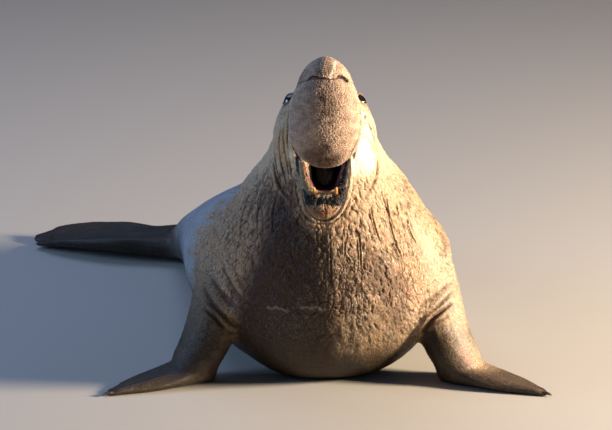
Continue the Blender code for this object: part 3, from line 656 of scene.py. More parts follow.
def foldDepth(points, normals, path, width, depth, lean):
    # how far the skin moves along its normal near a fold: down in its groove, up on its shoulders
    reach = width * 4.5
    low, high = path.min(axis=0) - reach, path.max(axis=0) + reach
    near = np.flatnonzero(((points > low) & (points < high)).all(axis=1))
    if not len(near):
        return near, np.zeros(0)
    close = points[near]
    squared = (close**2).sum(1)[:, None] - 2 * close @ path.T + (path**2).sum(1)[None]
    k = squared.argmin(axis=1)
    away = np.sqrt(np.maximum(squared[np.arange(len(near)), k], 0.0))
    share = k / max(len(path) - 1, 1)
    taper = np.clip(np.sin(np.pi * np.clip(share, 0.0, 1.0)), 0.0, 1.0) ** 0.45
    ahead = unit(np.gradient(path, axis=0))[k]
    hand = np.sign((np.cross(ahead, close - path[k]) * normals[near]).sum(axis=1))
    groove = -np.exp(-(away / width) ** 2)
    shoulder = np.exp(-((away - 2.1 * width) / (1.1 * width)) ** 2) * (0.30 + 0.30 * lean * hand)
    return near, depth * taper * (groove + shoulder)


def foldedSkin(mesh, points, normals):
    tree = boundTree(mesh)
    moved = np.zeros(len(points))
    for name, (pixels, width, depth, lean) in photoFolds.items():
        path = ontoSkin(tree, pixels)
        sides = ((path, lean), (mirrored(path), -lean))
        for one, tilt in sides if name in foldsOnBothSides else sides[:1]:
            near, shift = foldDepth(points, normals, one, width / 1000, depth / 1000, tilt)
            moved[near] += shift
    return moved


def creasedSkin(points):
    # the callused shield, the slits of the neck and cheeks, the soft rolls and the nape, laid along the body
    region = regionsOf(points)
    straight, _ = lines["body"].straighten(points)
    x, y, z = inPlan(points).T
    body = (1 - region["head"]) * (1 - region["arm"]) * (1 - region["hind"])
    cheek = region["head"] * (1 - region["bulb"]) * (1 - mouthShare(points)) * (1 - nearEye(points, 0.02))
    wander = noiseRows(straight, 0.09, 40, 3) * hide["wander"]
    shield = body * (1 - ramp(y, 0.25, 0.75)) * ramp(z, 0.10, 0.30)
    neck = np.maximum(body * (1 - ramp(y, 0.5, 0.9)) * ramp(z, 0.45, 0.75), cheek * 0.8)
    moved = np.zeros(len(points))
    near = np.flatnonzero((shield > 0.02) | (neck > 0.02))
    bent = straight[near] + wander[near]
    callus, flank = shield[near], np.maximum(shield, neck)[near]
    patch = ramp(softNoise(straight[near], (0.22, 0.13, 0.13), 5), -0.35, 0.35)
    slit = ramp(softNoise(bent, (0.085, 0.0125, 0.0125), 3), 0.28, 0.70)
    fine = ramp(softNoise(bent, (0.040, 0.0070, 0.0070), 9), 0.22, 0.75)
    plates = np.exp(-(crackNoise(bent, (0.060, 0.034, 0.034), 6) / 0.09) ** 2) * (1 - patch)
    moved[near] -= hide["slits"] * flank * (0.35 + 0.65 * patch) * slit
    moved[near] -= hide["fineSlits"] * flank * fine
    moved[near] -= hide["plates"] * callus * plates
    moved[near] += hide["ripples"] * flank * softNoise(bent, (0.16, 0.022, 0.022), 12)
    moved += hide["rolls"] * body * softNoise(straight, (0.34, 0.20, 0.20), 21)
    moved += hide["longRipples"] * body * softNoise(straight, (0.12, 0.03, 0.03), 22)
    # the nape is pressed into rolls, as the head is thrown back
    back = ramp(straight[:, 2], 0.02, 0.16) * ramp(z, 0.80, 0.95) * (1 - ramp(z, 1.22, 1.34))
    wave = straight[:, 0] + 0.018 * softNoise(straight, (0.3, 0.12, 0.12), 31)
    moved += hide["napeRolls"] * back * (np.abs(np.sin(wave * math.pi / hide["napeSpacing"])) ** 0.6 - 0.7)
    # short seams pulled along the body at the root of the tail and hind flippers
    tailward = ramp(y, 1.45, 1.75) * (1 - ramp(y, 2.0, 2.2)) * (1 - region["hind"])
    moved += hide["tailSeams"] * tailward * softNoise(straight, (0.05, 0.22, 0.22), 33)
    # fine lengthwise wrinkles on the flippers
    for name, share in limbShares(region, x):
        near = np.flatnonzero(share > 0.02)
        along, _ = lines[name].straighten(points[near])
        moved[near] += hide["flipperWrinkles"] * share[near] * softNoise(along, (0.10, 0.016, 0.016), 35)
    return moved


def noseWrinkles(points):
    # pebbled hide on the inflated nose, fine rings across it and broader ones at its sides
    region = regionsOf(points)
    near = np.flatnonzero(region["bulb"] > 0.01)
    straight, _ = lines["nose"].straighten(points[near])
    edge = ramp(np.abs(inPlan(points[near])[:, 0] - plan["head"].x), 0.075, 0.15)
    bent = straight + 0.006 * softNoise(straight, 0.05, 50)[:, None]
    rings = softNoise(bent, (0.011, 0.10, 0.10), 51)
    pebbles = np.exp(-(crackNoise(bent, (0.010, 0.013, 0.013), 52) / 0.22) ** 2)
    moved = np.zeros(len(points))
    everywhere, atSides = hide["noseRings"]
    moved[near] = (everywhere + atSides * edge) * rings - hide["nosePebbles"] * (1 - 0.5 * edge) * pebbles
    moved[near] += hide["noseLumps"] * softNoise(straight, 0.09, 53)
    return moved * region["bulb"]


# Eyelids: shaped round each eyeball from the way the eye looks

eyelid = {
    "length": 48.0,  # degrees from the look to the lids' edge: along the slit, above and below
    "above": 38.0,
    "below": 34.0,
    "pointed": 1.65,
    "rim": 0.0034,  # how far the lids stand over the eyeball, in metres
    "wetEdge": 0.0018,
}


def eyeFrame(side):
    look = np.array(eyeLookOf(side))
    ahead = unit(np.array(headForward) - look * (look @ np.array(headForward)))
    return look, ahead, np.cross(ahead, look) * side


def openingAt(turn):
    # degrees from the look to the lids' edge, for a turn round the look
    tall = np.where(np.sin(turn) > 0, eyelid["above"], eyelid["below"])
    p = eyelid["pointed"]
    return ((np.abs(np.cos(turn)) / eyelid["length"]) ** p + (np.abs(np.sin(turn)) / tall) ** p) ** (-1 / p)


def shapeLids(points):
    radius = plan["eyeRadius"]
    for side, middle in eyeMiddles.items():
        look, ahead, above = eyeFrame(side)
        away = points - np.array(middle)
        reach = np.linalg.norm(away, axis=1)
        near = np.flatnonzero((reach < 0.085) & (away @ look > -0.012))
        way = away[near] / reach[near][:, None]
        turn = np.arctan2(way @ above, way @ ahead)
        arc = np.radians(np.degrees(np.arccos(np.clip(way @ look, -1, 1))) - openingAt(turn)) * radius
        rim = eyelid["rim"] + 0.0014 * ramp(np.sin(turn), -0.1, 0.7)  # the upper lid is the heavier
        height = np.interp(arc, [-0.0045, -0.0015, 0.0004], [-0.006, -0.0045, 0.0012])
        height += rim * ramp(arc, -0.0004, 0.0028) - 0.0016 * np.exp(-((arc - 0.0085) / 0.0022) ** 2)
        height += 0.0012 * np.exp(-((arc - 0.0128) / 0.0022) ** 2)
        blend = ramp(arc, 0.009, 0.020)
        goal = (radius + height) * (1 - blend) + np.maximum(reach[near], radius + 0.003) * blend
        points[near] = np.array(middle) + way * goal[:, None]
    return points


def eyeFolds(points):
    # creases round each eye, that fade with distance
    moved = np.zeros(len(points))
    for side, middle in eyeMiddles.items():
        look, ahead, above = eyeFrame(side)
        away = points - np.array(middle)
        reach = np.linalg.norm(away - (away @ look)[:, None] * look, axis=1)
        turn = np.arctan2(away @ above, away @ ahead)
        waver = reach + 0.002 * np.sin(3 * turn + 1.0)
        rings = sum(
            depth * np.exp(-((waver - at) / width) ** 2)
            for at, width, depth in ((0.0565, 0.003, -0.004), (0.063, 0.005, 0.003), (0.0715, 0.003, -0.0035),
                                     (0.079, 0.005, 0.0022), (0.088, 0.0035, -0.002))
        )
        moved += rings * ramp(away @ look, -0.03, 0.0) * (1 - ramp(reach, 0.085, 0.10))
    return moved


def nearEye(points, wider=0.0):
    share = np.zeros(len(points))
    for middle in eyeMiddles.values():
        away = np.linalg.norm(points - np.array(middle), axis=1)
        share = np.maximum(share, 1 - ramp(away, 0.046 + wider, 0.060 + wider))
    return share


def mouthShare(points):
    # 1 on the lining of the open mouth, 0 on the outer skin
    along, lift, across = inJaw(points).T
    wide = np.interp(along, [-0.10, 0.08, 0.18, 0.26, 0.308, 0.33], [0.05, 0.068, 0.070, 0.062, 0.042, 0.012])
    low = 1 - ramp(np.abs(across) / wide, 1.0, 1.12)
    low *= ramp(along, -0.16, -0.12)
    low *= ramp(lift, -0.06, -0.05) * (1 - ramp(lift, 0.050, 0.062)) * (1 - ramp(along, 0.322, 0.336))
    forward, up, side = inHead(points).T
    wide = np.interp(forward, [-0.12, 0.0, 0.10, 0.18, 0.24], [0.05, 0.068, 0.068, 0.052, 0.02])
    high = (1 - ramp(np.abs(side) / wide, 1.0, 1.15)) * (1 - ramp(up, -0.115, -0.105))
    high *= ramp(up, -0.27, -0.25)
    high *= ramp(forward, -0.25, -0.20) * (1 - ramp(forward, 0.235, 0.25))
    return np.clip(np.maximum(low, high), 0.0, 1.0)


def finishSkin(mesh):
    points, normals = pointsOf(mesh), normalsOf(mesh)
    moved = foldedSkin(mesh, points, normals) + creasedSkin(points) + noseWrinkles(points) + eyeFolds(points)
    inside = mouthShare(points)
    moved *= 1 - inside
    # how deep each point lies in a fold, kept to paint shade into the creases
    groove = ramp(-moved, 0.0008, 0.0060)
    moved -= skin["coat"] * (1 - inside) * (1 - nearEye(points))
    points = shapeLids(points + normals * moved[:, None])
    points[:, 2] = np.maximum(points[:, 2], 0.0006)  # nothing passes under the floor
    setPoints(mesh, points)
    layer = mesh.attributes.new("groove", "FLOAT", "POINT")
    layer.data.foreach_set("value", groove.astype(np.float32))
    count = sum(len(face.vertices) - 2 for face in mesh.polygons)
    ratio = min(1.0, skin["triangles"] / count)
    made = withModifier(mesh, "DECIMATE", ratio=ratio, use_collapse_triangulate=True)
    made.shade_smooth()
    return made


skinFinal = finishSkin(skinMesh)
print("skin: folded, creased and brought to", len(skinFinal.polygons), "triangles")

# Markings: shares on every point of the skin, which the coat copies at its roots.
# Outlines and lines are pixels of the photograph, laid on the side of the animal that the camera sees.

outlines = {
    "creamRight": [(359.5, 135), (369, 142), (374, 157), (373.6, 171), (366, 181), (356, 184), (351.6, 172),
                   (350.4, 158), (354, 145)],
    "creamLeft": [(291, 149), (296, 156), (297, 179), (293.5, 184), (290, 172), (289.4, 158)],
    "cheekPale": [(357, 110), (366, 112), (372, 128), (376, 143), (372, 142), (362, 133)],
    # the tan pebbly band of the lower lip, painted lighter where the sun falls on it
    "lipTan": [(299.5, 161), (305.5, 163), (309, 178), (314.5, 188), (311, 192), (305, 192), (300.6, 184)],
    "lipDarkRight": [(341, 170), (346, 158), (349.5, 159), (349, 176), (347, 191), (343, 204), (337, 199),
                     (336.5, 190)],
    "lipDark": [(300.8, 188), (308, 193), (317, 196.5), (328, 196.5), (337, 192), (345, 188), (343, 203),
                (335, 208), (322, 204), (312, 207), (304.5, 204)],
    "lipFront": [(304.5, 205), (312, 208), (322, 205.5), (335, 209), (341.5, 206), (336, 214.5), (326, 219),
                 (316, 218.5), (308, 213.5)],
    # the dark wet chest and throat: partly wet skin, partly painted shade
    "underWetAndShade": [(236, 318), (246, 290), (257, 262), (264, 236), (269, 212), (277, 192), (288, 198),
                 (297, 214), (308, 227), (327, 233), (343, 262), (360, 292), (395, 312), (418, 330),
                 (404, 372), (320, 392), (250, 374), (228, 345)],
    # the lit fore flipper's wet lower edge: partly wet skin, partly painted shade
    "armWetAndShade": [(423, 330), (436, 327), (441, 348), (453, 367), (491, 379), (516, 386.5), (556, 397),
                (548, 404), (440, 398), (421, 362)],
    # painted sunlight: where the sun falls on the lit fore flipper
    "armPaintedSunlight": [(446, 292), (462, 296), (468, 330), (478, 350), (498, 368), (480, 372), (462, 362),
                  (447, 338), (442, 312)],
    # a painted sheen: the glossy light on the lit shoulder
    "shoulderPaintedSheen": [(404, 214), (420, 222), (440, 240), (453, 262), (458, 292), (470, 335), (478, 352),
                     (462, 352), (447, 330), (440, 302), (431, 272), (417, 242)],
    "scars": [(336, 226), (372, 214), (404, 236), (424, 268), (430, 296), (416, 322), (384, 330), (350, 318),
              (334, 286), (330, 250)],
}
strokes = {
    # pixels of each line and its half width in pixels
    "gum": ([(303.5, 163), (307.5, 176), (313.5, 185.5), (324.5, 190), (334, 187), (340, 175),
             (344, 163)], 0.5),
    "lipEdge": ([(296.8, 158), (298.2, 173), (299.8, 190), (304, 205.5), (310, 216), (319, 221), (329, 220),
                 (338.5, 213), (344, 203), (348, 189), (350, 173), (349.2, 160)], 1.1),
    "noseScar": ([(335.4, 62.5), (333.2, 70.5), (330.2, 77.5)], 0.9),
    # painted shade in the deep ends of the fold across the nose
    "slotShadeLeft": ([(310, 78.2), (313.5, 76.8), (318, 76.8)], 0.6),
    "slotShadeRight": ([(339, 76.8), (343, 77.8), (347, 81)], 1.4),
    "scratchA": ([(302, 307.5), (313, 308.2), (325, 309)], 0.8),
    "scratchB": ([(267.5, 307.5), (277, 308.5), (287.5, 311)], 0.8),
    "scratchC": ([(352, 300), (366, 296), (380, 297)], 0.8),
    "scratchD": ([(346, 318), (362, 315), (377, 317)], 0.8),
}
patches = {
    # pixel and radius in millimetres of each round patch
    "noseDark": [((328, 104), 30), ((326, 112), 24), ((323, 98), 20), ((320, 120), 9), ((331, 122), 9)],
    "noseLow": [((325, 162), 62), ((334, 159), 40), ((314, 159), 50), ((325, 151), 36)],
    "pink": [((468, 360), 26), ((464, 352), 22), ((410, 292), 22), ((421, 298), 24), ((398, 272), 17),
             ((386, 238), 14), ((373, 262), 14), ((404, 256), 12), ((390, 300), 16)],
}


def segmentDistance(pixels, a, b):
    a, b = np.array(a), np.array(b)
    t = np.clip(((pixels - a) @ (b - a)) / ((b - a) @ (b - a)), 0, 1)
    return np.linalg.norm(pixels - a - t[:, None] * (b - a), axis=1)


def insideOf(pixels, name, soft):
    # 1 inside an outline and 0 outside, with an edge that is soft pixels wide
    corners = outlines[name]
    inside = np.zeros(len(pixels), bool)
    nearest = np.full(len(pixels), 1e9)
    x, y = pixels.T
    for (ax, ay), (bx, by) in zip(corners, corners[1:] + corners[:1]):
        inside ^= ((ay > y) != (by > y)) & (x < (bx - ax) * (y - ay) / ((by - ay) or 1e-9) + ax)
        nearest = np.minimum(nearest, segmentDistance(pixels, (ax, ay), (bx, by)))
    return ramp(np.where(inside, nearest, -nearest), -soft, soft)


def alongStroke(pixels, name, soft=1.0):
    line, half = strokes[name]
    path = smoothPath(np.array(line, float), step=1.5)[1]
    path = np.vstack([path, line[-1]])
    away = np.min([segmentDistance(pixels, a, b) for a, b in zip(path, path[1:])], axis=0)
    return 1 - ramp(away, half, half + soft)


def spread(points, tree, name):
    # soft round patches
    share = np.zeros(len(points))
    for (x, y), radius in patches[name]:
        place = onSkin(tree, x, y)
        if place is not None:
            near = np.exp(-((points - np.array(place)) ** 2).sum(axis=1) / (radius / 1000) ** 2)
            share = np.maximum(share, near * 1.4)
    return np.clip(share, 0.0, 1.0)


def markingsOf(mesh, tree):
    points, normals = pointsOf(mesh), normalsOf(mesh)
    region = regionsOf(points)
    x, y, z = inPlan(points).T
    straight, _ = lines["body"].straighten(points)
    groove = np.empty(len(points), np.float32)
    mesh.attributes["groove"].data.foreach_get("value", groove)
    ahead, _ = viewAxes()
    facing = ramp(normals @ -ahead, -0.10, 0.12) * (1 - ramp(y, 0.35, 0.6))
    ragged = noiseRows(straight, 0.022, 75, 2)
    pixels = pixelsOf(points)
    rough = pixels + ragged * 2.2
    lumpy = softNoise(straight, 0.12, 71) * 0.5 + softNoise(straight, 0.045, 72) * 0.3
    head, arm, hand, hind = (region[name] for name in ("head", "arm", "hand", "hind"))
    along, lift, _ = inJaw(points).T
    jaw = ramp(along, 0.03, 0.07) * ramp(lift, -0.085, -0.065) * (1 - ramp(lift, 0.085, 0.11)) * facing
    # groove: the creases, where shade is painted
    marks = {"groove": groove}
    marks["cream"] = np.maximum(insideOf(rough, "creamRight", 1.6), 0.7 * insideOf(rough, "creamLeft", 1.6))
    marks["cream"] = np.maximum(marks["cream"], 0.55 * insideOf(rough, "cheekPale", 3)) * head * facing
    marks["cream"] *= 1 - region["bulb"]
    # painted sheen: the lit shoulder gets a little of the cream
    marks["cream"] = np.maximum(marks["cream"], 0.16 * insideOf(rough, "shoulderPaintedSheen", 9) * facing)
    border = 0.25 * lumpy + 0.20 * softNoise(straight, (0.30, 0.035, 0.035), 77)
    marks["silver"] = ramp(y + border, 0.36, 1.00) * (1 - hind) * (1 - arm)
    # painted light and shade on the fore flippers: the upper arm in shade is darker than the lit one, the wet
    # shaded lower edge darker, and the sunlit part lighter
    armSunlit = insideOf(rough, "armPaintedSunlight", 5) * facing
    darkArmAndShade = np.where(x > 0, 0.30 * arm + 0.50 * hand, 0.66 * arm + 0.30 * hand)
    darkArmAndShade = np.maximum(darkArmAndShade, insideOf(rough, "armWetAndShade", 3) * facing * (arm + hand > 0.1) * 0.95)
    marks["dark"] = np.clip(np.maximum(hind, darkArmAndShade * (1 - 0.85 * armSunlit)), 0, 1)
    chest = (1 - ramp(y, 0.15, 0.55)) * (1 - head) * (1 - arm)
    scarred = np.maximum(0.30 * ramp(z + 0.1 * lumpy, 0.12, 0.42), insideOf(rough, "scars", 12) * facing)
    marks["scar"] = chest * scarred
    # the dark underside is partly wet skin and partly painted shade: strongest in the shaded half left of the
    # middle, and darker towards the bottom
    wetFrontAndShade = insideOf(rough, "underWetAndShade", 9) * facing * (1 - head) * (1 - arm)
    wetFrontAndShade *= 1 - 0.52 * ramp(pixels[:, 0], 326, 340)
    marks["under"] = np.maximum(wetFrontAndShade, (1 - ramp(z + 0.05 * lumpy, 0.10, 0.34)) * (1 - hind) * (1 - hand))
    marks["damp"] = np.clip(0.8 * marks["under"] + 0.8 * hand + hind + 0.4 * arm + 0.4 * marks["scar"], 0, 1)
    marks["pink"] = spread(points, tree, "pink")
    marks["bulb"] = region["bulb"] * (1 - mouthShare(points))
    marks["noseDark"] = np.clip(
        0.85 * spread(points, tree, "noseDark") + spread(points, tree, "noseLow"), 0, 1) * region["bulb"]
    marks["pale"] = np.clip(0.75 * head + 0.55 * ramp(z, 0.72, 1.0) * (1 - ramp(y, 0.2, 0.5)), 0, 1)
    # the mouth lining, painted nearly black as the shade deep in the open mouth
    marks["mouth"] = mouthShare(points)
    marks["gum"] = alongStroke(pixels, "gum") * jaw * ramp(lift, -0.045, -0.02)
    marks["lipEdge"] = alongStroke(pixels, "lipEdge") * jaw
    # tan pebbly lip skin, with painted sunlight
    marks["lipTan"] = insideOf(rough, "lipTan", 1.2) * jaw
    marks["lipFront"] = insideOf(rough, "lipFront", 1.4) * jaw
    marks["lipDark"] = np.maximum(insideOf(rough, "lipDark", 1.4), insideOf(rough, "lipDarkRight", 1.2)) * jaw
    marks["tear"] = 0.7 * nearEye(points, -0.002)
    # painted shade in the ends of the nose fold
    marks["slot"] = np.maximum(alongStroke(pixels, "slotShadeLeft"), alongStroke(pixels, "slotShadeRight")) * facing
    marks["slot"] *= region["bulb"] + head > 0.5
    scratches = [alongStroke(pixels, "noseScar") * region["bulb"]]
    scratches += [0.2 * alongStroke(rough, "scratch" + k) * chest for k in "ABCD"]
    marks["scratch"] = np.max(scratches, axis=0) * facing
    return marks, straight


markPacks = {
    "marksBody": ("cream", "silver", "dark", "scar"),
    "marksWetAndShade": ("damp", "under", "pink", "groove"),
    "marksHead": ("bulb", "noseDark", "mouth", "pale"),
    "marksLip": ("gum", "lipEdge", "lipTan", "lipFront"),
    "marksFace": ("lipDark", "tear", "slot", "scratch"),
}
coatPacks = ("marksBody", "marksWetAndShade", "marksHead")


def storeMarks(mesh, packs, straight):
    layer = mesh.attributes.new("straight", "FLOAT_VECTOR", "POINT")
    layer.data.foreach_set("vector", straight.astype(np.float32).ravel())
    for name, values in packs.items():
        layer = mesh.attributes.new(name, "FLOAT_COLOR", "POINT")
        layer.data.foreach_set("color", values.astype(np.float32).ravel())


skinTree = boundTree(skinFinal)
skinMarks, skinStraight = markingsOf(skinFinal, skinTree)
skinPacks = {name: np.stack([skinMarks[k] for k in names], axis=1) for name, names in markPacks.items()}
storeMarks(skinFinal, skinPacks, skinStraight)
print("skin: markings ready")

# Hide: a sea mammal's thick skin under short stiff fur, scarred and cracked on the chest, bare and pebbled
# on the nose. The eye sees tan streaks that run down the body, dark grooves with painted shade, and a damp
# shine low down.

hideColours = {
    "tanDark": "#5c4733", "tanLight": "#b8a084", "gold": "#b88c50", "paleTan": "#cdb594",
    # cream: the pale cheeks, and a painted sheen on the lit shoulder
    "hairPale": "#dcc8a6", "cream": "#f0e6d2", "silver": "#a5aeb7", "silverDark": "#6a6e72",
    # belly: the wet underside, darkened further as painted shade
    # scarPaleAndHighlight: pale scars, with painted highlights of the wet chest plates
    "dark": "#151210", "bellyWetAndShade": "#241a0e", "scarPink": "#b3766a", "scarPaleAndHighlight": "#eadcc6",
    "noseTan": "#cdb096", "noseBrown": "#7c6150", "nosePink": "#b98474", "noseDark": "#321b12",
    # crack: dark slits, and the painted shade in the creases
    # lipTan: tan pebbly lip, lighter as painted sunlight
    # mouth: painted shade, the lining nearly black
    "crackAndCreaseShade": "#3a2419", "mouth": "#0b0505", "gum": "#7d4650", "lipEdge": "#1f1917", "lipTan": "#8d7753",
    # slot: painted shade in the ends of the nose fold
    "lipFront": "#8a5a36", "lipDark": "#1b1613", "slot": "#3a2320", "tear": "#2a211b",
}
hideLook = {
    "pebbles": 9.5,  # millimetres from seam to seam on the nose
    "seams": (0.16, 0.0),
    "rough": (0.68, 0.42),  # dry and damp
    "mouthGloss": -0.25,
    "hairTint": (0.68, 1.20),
    "bump": 0.0020,
}
# Patterns: how long the marks are down the body and how wide, in millimetres, the noise's detail and
# roughness, and which of its values become 0 and 1. Single hairs are too fine to show, so the narrowest marks
# stand for locks of them.
hidePatterns = {
    "streak": (90, 8.5, 4.0, 0.6, 0.34, 0.66),
    "hairs": (26, 3.4, 3.0, 0.6, 0.30, 0.70),
    "paleHairs": (48, 5.5, 3.0, 0.6, 0.56, 0.70),
    "dashes": (38, 6.0, 3.0, 0.6, 0.60, 0.68),
    "mottle": (160, 90, 4.0, 0.6, 0.36, 0.64),
    "fleck": (24, 11, 5.0, 0.7, 0.55, 0.66),
    "nicks": (11, 7.5, 5.0, 0.75, 0.555, 0.66),
    "blotch": (30, 34, 5.0, 0.65, 0.36, 0.64),
}
# Layers from the lowest: a colour, the marking or pattern that it covers, and its strength, which is a number
# or goes from the first number to the second as another marking or pattern goes from 0 to 1.
hideLayers = [
    ("tanLight", "streak", 1.0),
    ("gold", "mottle", 0.28),
    ("paleTan", "pale", 0.65),
    ("silver", "silver", 0.94),
    ("silverDark", "silver", "streak", 0.1, 0.7),
    # the wet underside, painted darker as shade
    ("bellyWetAndShade", "under", 0.95),
    ("hairPale", "paleHairs", "under", 0.58, 0.06),
    ("crackAndCreaseShade", "dashes", "silver", 0.75, 0.1125),
    ("scarPink", "scar", "fleck", 0.0, 0.80),
    # pale scars, and painted highlights on the wet plates of the chest
    ("scarPaleAndHighlight", "scar", "nicks", 0.0, 0.90),
    ("scarPink", "pink", "fleck", 0.35, 0.80),
    # the dark flippers, with painted shade on the fore flippers
    ("dark", "dark", 0.92),
    ("noseTan", "bulb", 1.0),
    ("noseBrown", "bulb", "blotch", 0.0, 0.62),
    ("nosePink", "bulb", "fleck", 0.0, 0.45),
    ("noseDark", "bulb", "seams", 0.0, 0.38),
    ("noseDark", "noseDark", "blotch", 0.65, 0.95),
    ("cream", "cream", "dashes", 0.95, 0.55),
    # painted shade: the creases of the skin darkened
    ("crackAndCreaseShade", "groove", "silver", 0.70, 0.28),
]
bareLayers = [
    # slot: painted shade in the ends of the nose fold
    ("scarPaleAndHighlight", "scratch", "hairs", 0.65, 1.0), ("tear", "tear", 0.75), ("slot", "slot", 0.85),
    ("lipDark", "lipDark", 1.0),
    # tan pebbly lip, lighter as painted sunlight
    ("lipTan", "lipTan", "nicks", 0.95, 0.5),
    ("lipFront", "lipFront", "blotch", 0.95, 0.6),
    # the mouth lining: painted shade, nearly black
    ("lipEdge", "lipEdge", 1.0), ("mouth", "mouth", 1.0), ("gum", "gum", 0.9),
]
# what raises and lowers the bare hide, written as the layers are
hideRelief = [
    ("streak", "bulb", 0.5, 0.0),
    ("hairs", "bulb", 0.35, 0.0),
    ("seams", "bulb", 0.0, -0.7),
    ("dashes", -0.35),
]


def hideMaterial(name, relief):
    material, tree, shader = newMaterial(name, Roughness=0.6, Specular_IOR_Level=0.3)

    def add(kind, inputs={}, **settings):
        return addNode(tree, kind, inputs, **settings)

    along = add("ShaderNodeAttribute", attribute_name="straight").outputs["Vector"]
    found = {}  # every marking and pattern, by name
    for pack, names in markPacks.items():
        if not relief and pack not in coatPacks:
            continue
        source = add("ShaderNodeAttribute", attribute_name=pack)
        parts = add("ShaderNodeSeparateColor", {0: source.outputs["Color"]})
        for part, label in zip(("Red", "Green", "Blue"), names):
            found[label] = parts.outputs[part]
        found[names[3]] = source.outputs["Alpha"]
    for label, (length, width, detail, rough, low, high) in hidePatterns.items():
        scale = (1000 / length, 1000 / width, 1000 / width)
        placed = add("ShaderNodeMapping", {"Vector": along, "Scale": scale}).outputs[0]
        noise = {"Vector": placed, "Scale": 1.0, "Detail": detail, "Roughness": rough}
        noise = add("ShaderNodeTexNoise", noise).outputs["Fac"]
        ends = {"Value": noise, "From Min": low, "From Max": high}
        found[label] = add("ShaderNodeMapRange", ends).outputs[0]
    scale = (1000 / hideLook["pebbles"],) * 3
    placed = add("ShaderNodeMapping", {"Vector": along, "Scale": scale}).outputs[0]
    pebbles = add("ShaderNodeTexVoronoi", {"Vector": placed, "Scale": 1.0}, feature="DISTANCE_TO_EDGE")
    low, high = hideLook["seams"]
    ends = {"Value": pebbles.outputs["Distance"], "From Min": low, "From Max": high}
    found["seams"] = add("ShaderNodeMapRange", ends).outputs[0]

    def covered(label, *strength):
        # a marking or pattern at its strength
        if len(strength) > 1:
            other, low, high = strength
            ends = {"Value": found[other], "To Min": low, "To Max": high}
            strength = add("ShaderNodeMapRange", ends).outputs
        return add("ShaderNodeMath", {0: found[label], 1: strength[0]}, operation="MULTIPLY").outputs[0]

    shade = colour(hideColours["tanDark"])
    for top, *how in hideLayers + (bareLayers if relief else []):
        layer = {0: covered(*how), 6: shade, 7: colour(hideColours[top])}
        shade = add("ShaderNodeMix", layer, data_type="RGBA").outputs[2]
    low, high = hideLook["hairTint"]
    tint = add("ShaderNodeMapRange", {"Value": found["hairs"], "To Min": low, "To Max": high}).outputs[0]
    tint = add("ShaderNodeCombineXYZ", {0: tint, 1: tint, 2: tint}).outputs[0]
    shade = add("ShaderNodeVectorMath", {0: shade, 1: tint}, operation="MULTIPLY").outputs[0]
    tree.links.new(shade, shader.inputs["Base Color"])
    dry, damp = hideLook["rough"]
    rough = add("ShaderNodeMapRange", {"Value": found["damp"], "To Min": dry, "To Max": damp}).outputs[0]
    if relief:
        gloss = {0: found["mouth"], 1: hideLook["mouthGloss"], 2: rough}
        rough = add("ShaderNodeMath", gloss, operation="MULTIPLY_ADD").outputs[0]
        height = 0.0
        for row in hideRelief:
            height = add("ShaderNodeMath", {0: covered(*row), 1: height}, operation="ADD").outputs[0]
        bump = add("ShaderNodeBump", {"Height": height, "Distance": hideLook["bump"], "Strength": 0.9})
        tree.links.new(bump.outputs[0], shader.inputs["Normal"])
    tree.links.new(rough, shader.inputs["Roughness"])
    return material


def addPiece(name, mesh, materials, slot, *nodes):
    # a finished piece of the animal, which stands for the nodes named
    piece = linkObject(name, mesh, materials)
    if nodes:
        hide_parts(*nodes)
    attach(piece, "root")


addPiece("skin", skinFinal, [hideMaterial("hideScarredWithShortFur", True)], "hide", *skin["flesh"])
print("skin: hide ready")

# Round bodies: teeth, claws, whiskers and the edges of the lids


def addTube(bm, rows, sides=10, closed=False):
    # a round body along rows of place and radius; returns its rings
    rows = np.array(rows, float)
    count = len(rows)
    if closed:
        ahead = np.roll(rows[:, :3], -1, axis=0) - np.roll(rows[:, :3], 1, axis=0)
    else:
        ahead = np.gradient(rows[:, :3], axis=0)
    ahead = unit(ahead)
    across = np.array(Vector(ahead[0]).orthogonal())
    rings = []
    for k in range(count):
        across = unit(across - ahead[k] * (across @ ahead[k]))
        other = np.cross(ahead[k], across)
        turns = 2 * math.pi * np.arange(sides) / sides
        ring = rows[k, :3] + (np.outer(np.cos(turns), across) + np.outer(np.sin(turns), other)) * rows[k, 3]
        rings.append([bm.verts.new(point) for point in ring])
    pairs = list(zip(rings, rings[1:])) + ([(rings[-1], rings[0])] if closed else [])
    for first, second in pairs:
        shift = 0
        if closed and first is rings[-1]:  # the last ring meets the first where they lie closest
            shift = min(range(sides), key=lambda s: (first[0].co - second[s].co).length)
        for k in range(sides):
            n = (k + 1) % sides
            bm.faces.new((first[k], first[n], second[(n + shift) % sides], second[(k + shift) % sides]))
    if not closed:
        for ring in (rings[0], rings[-1]):
            middle = bm.verts.new(sum((v.co for v in ring), Vector()) / sides)
            for k in range(sides):
                bm.faces.new((ring[k], ring[(k + 1) % sides], middle))
    return rings


def finishTubes(bm, name):
    bmesh.ops.recalc_face_normals(bm, faces=bm.faces)
    mesh = meshFrom(bm, name)
    mesh.shade_smooth()
    return mesh


pegShape = {
    "share": (0.0, 0.18, 0.40, 0.60, 0.78, 0.90, 0.97, 1.0),
    "tooth": (0.92, 1.0, 0.96, 0.84, 0.66, 0.46, 0.26, 0.05),
    "claw": (1.0, 1.0, 0.94, 0.82, 0.64, 0.44, 0.26, 0.06),
}


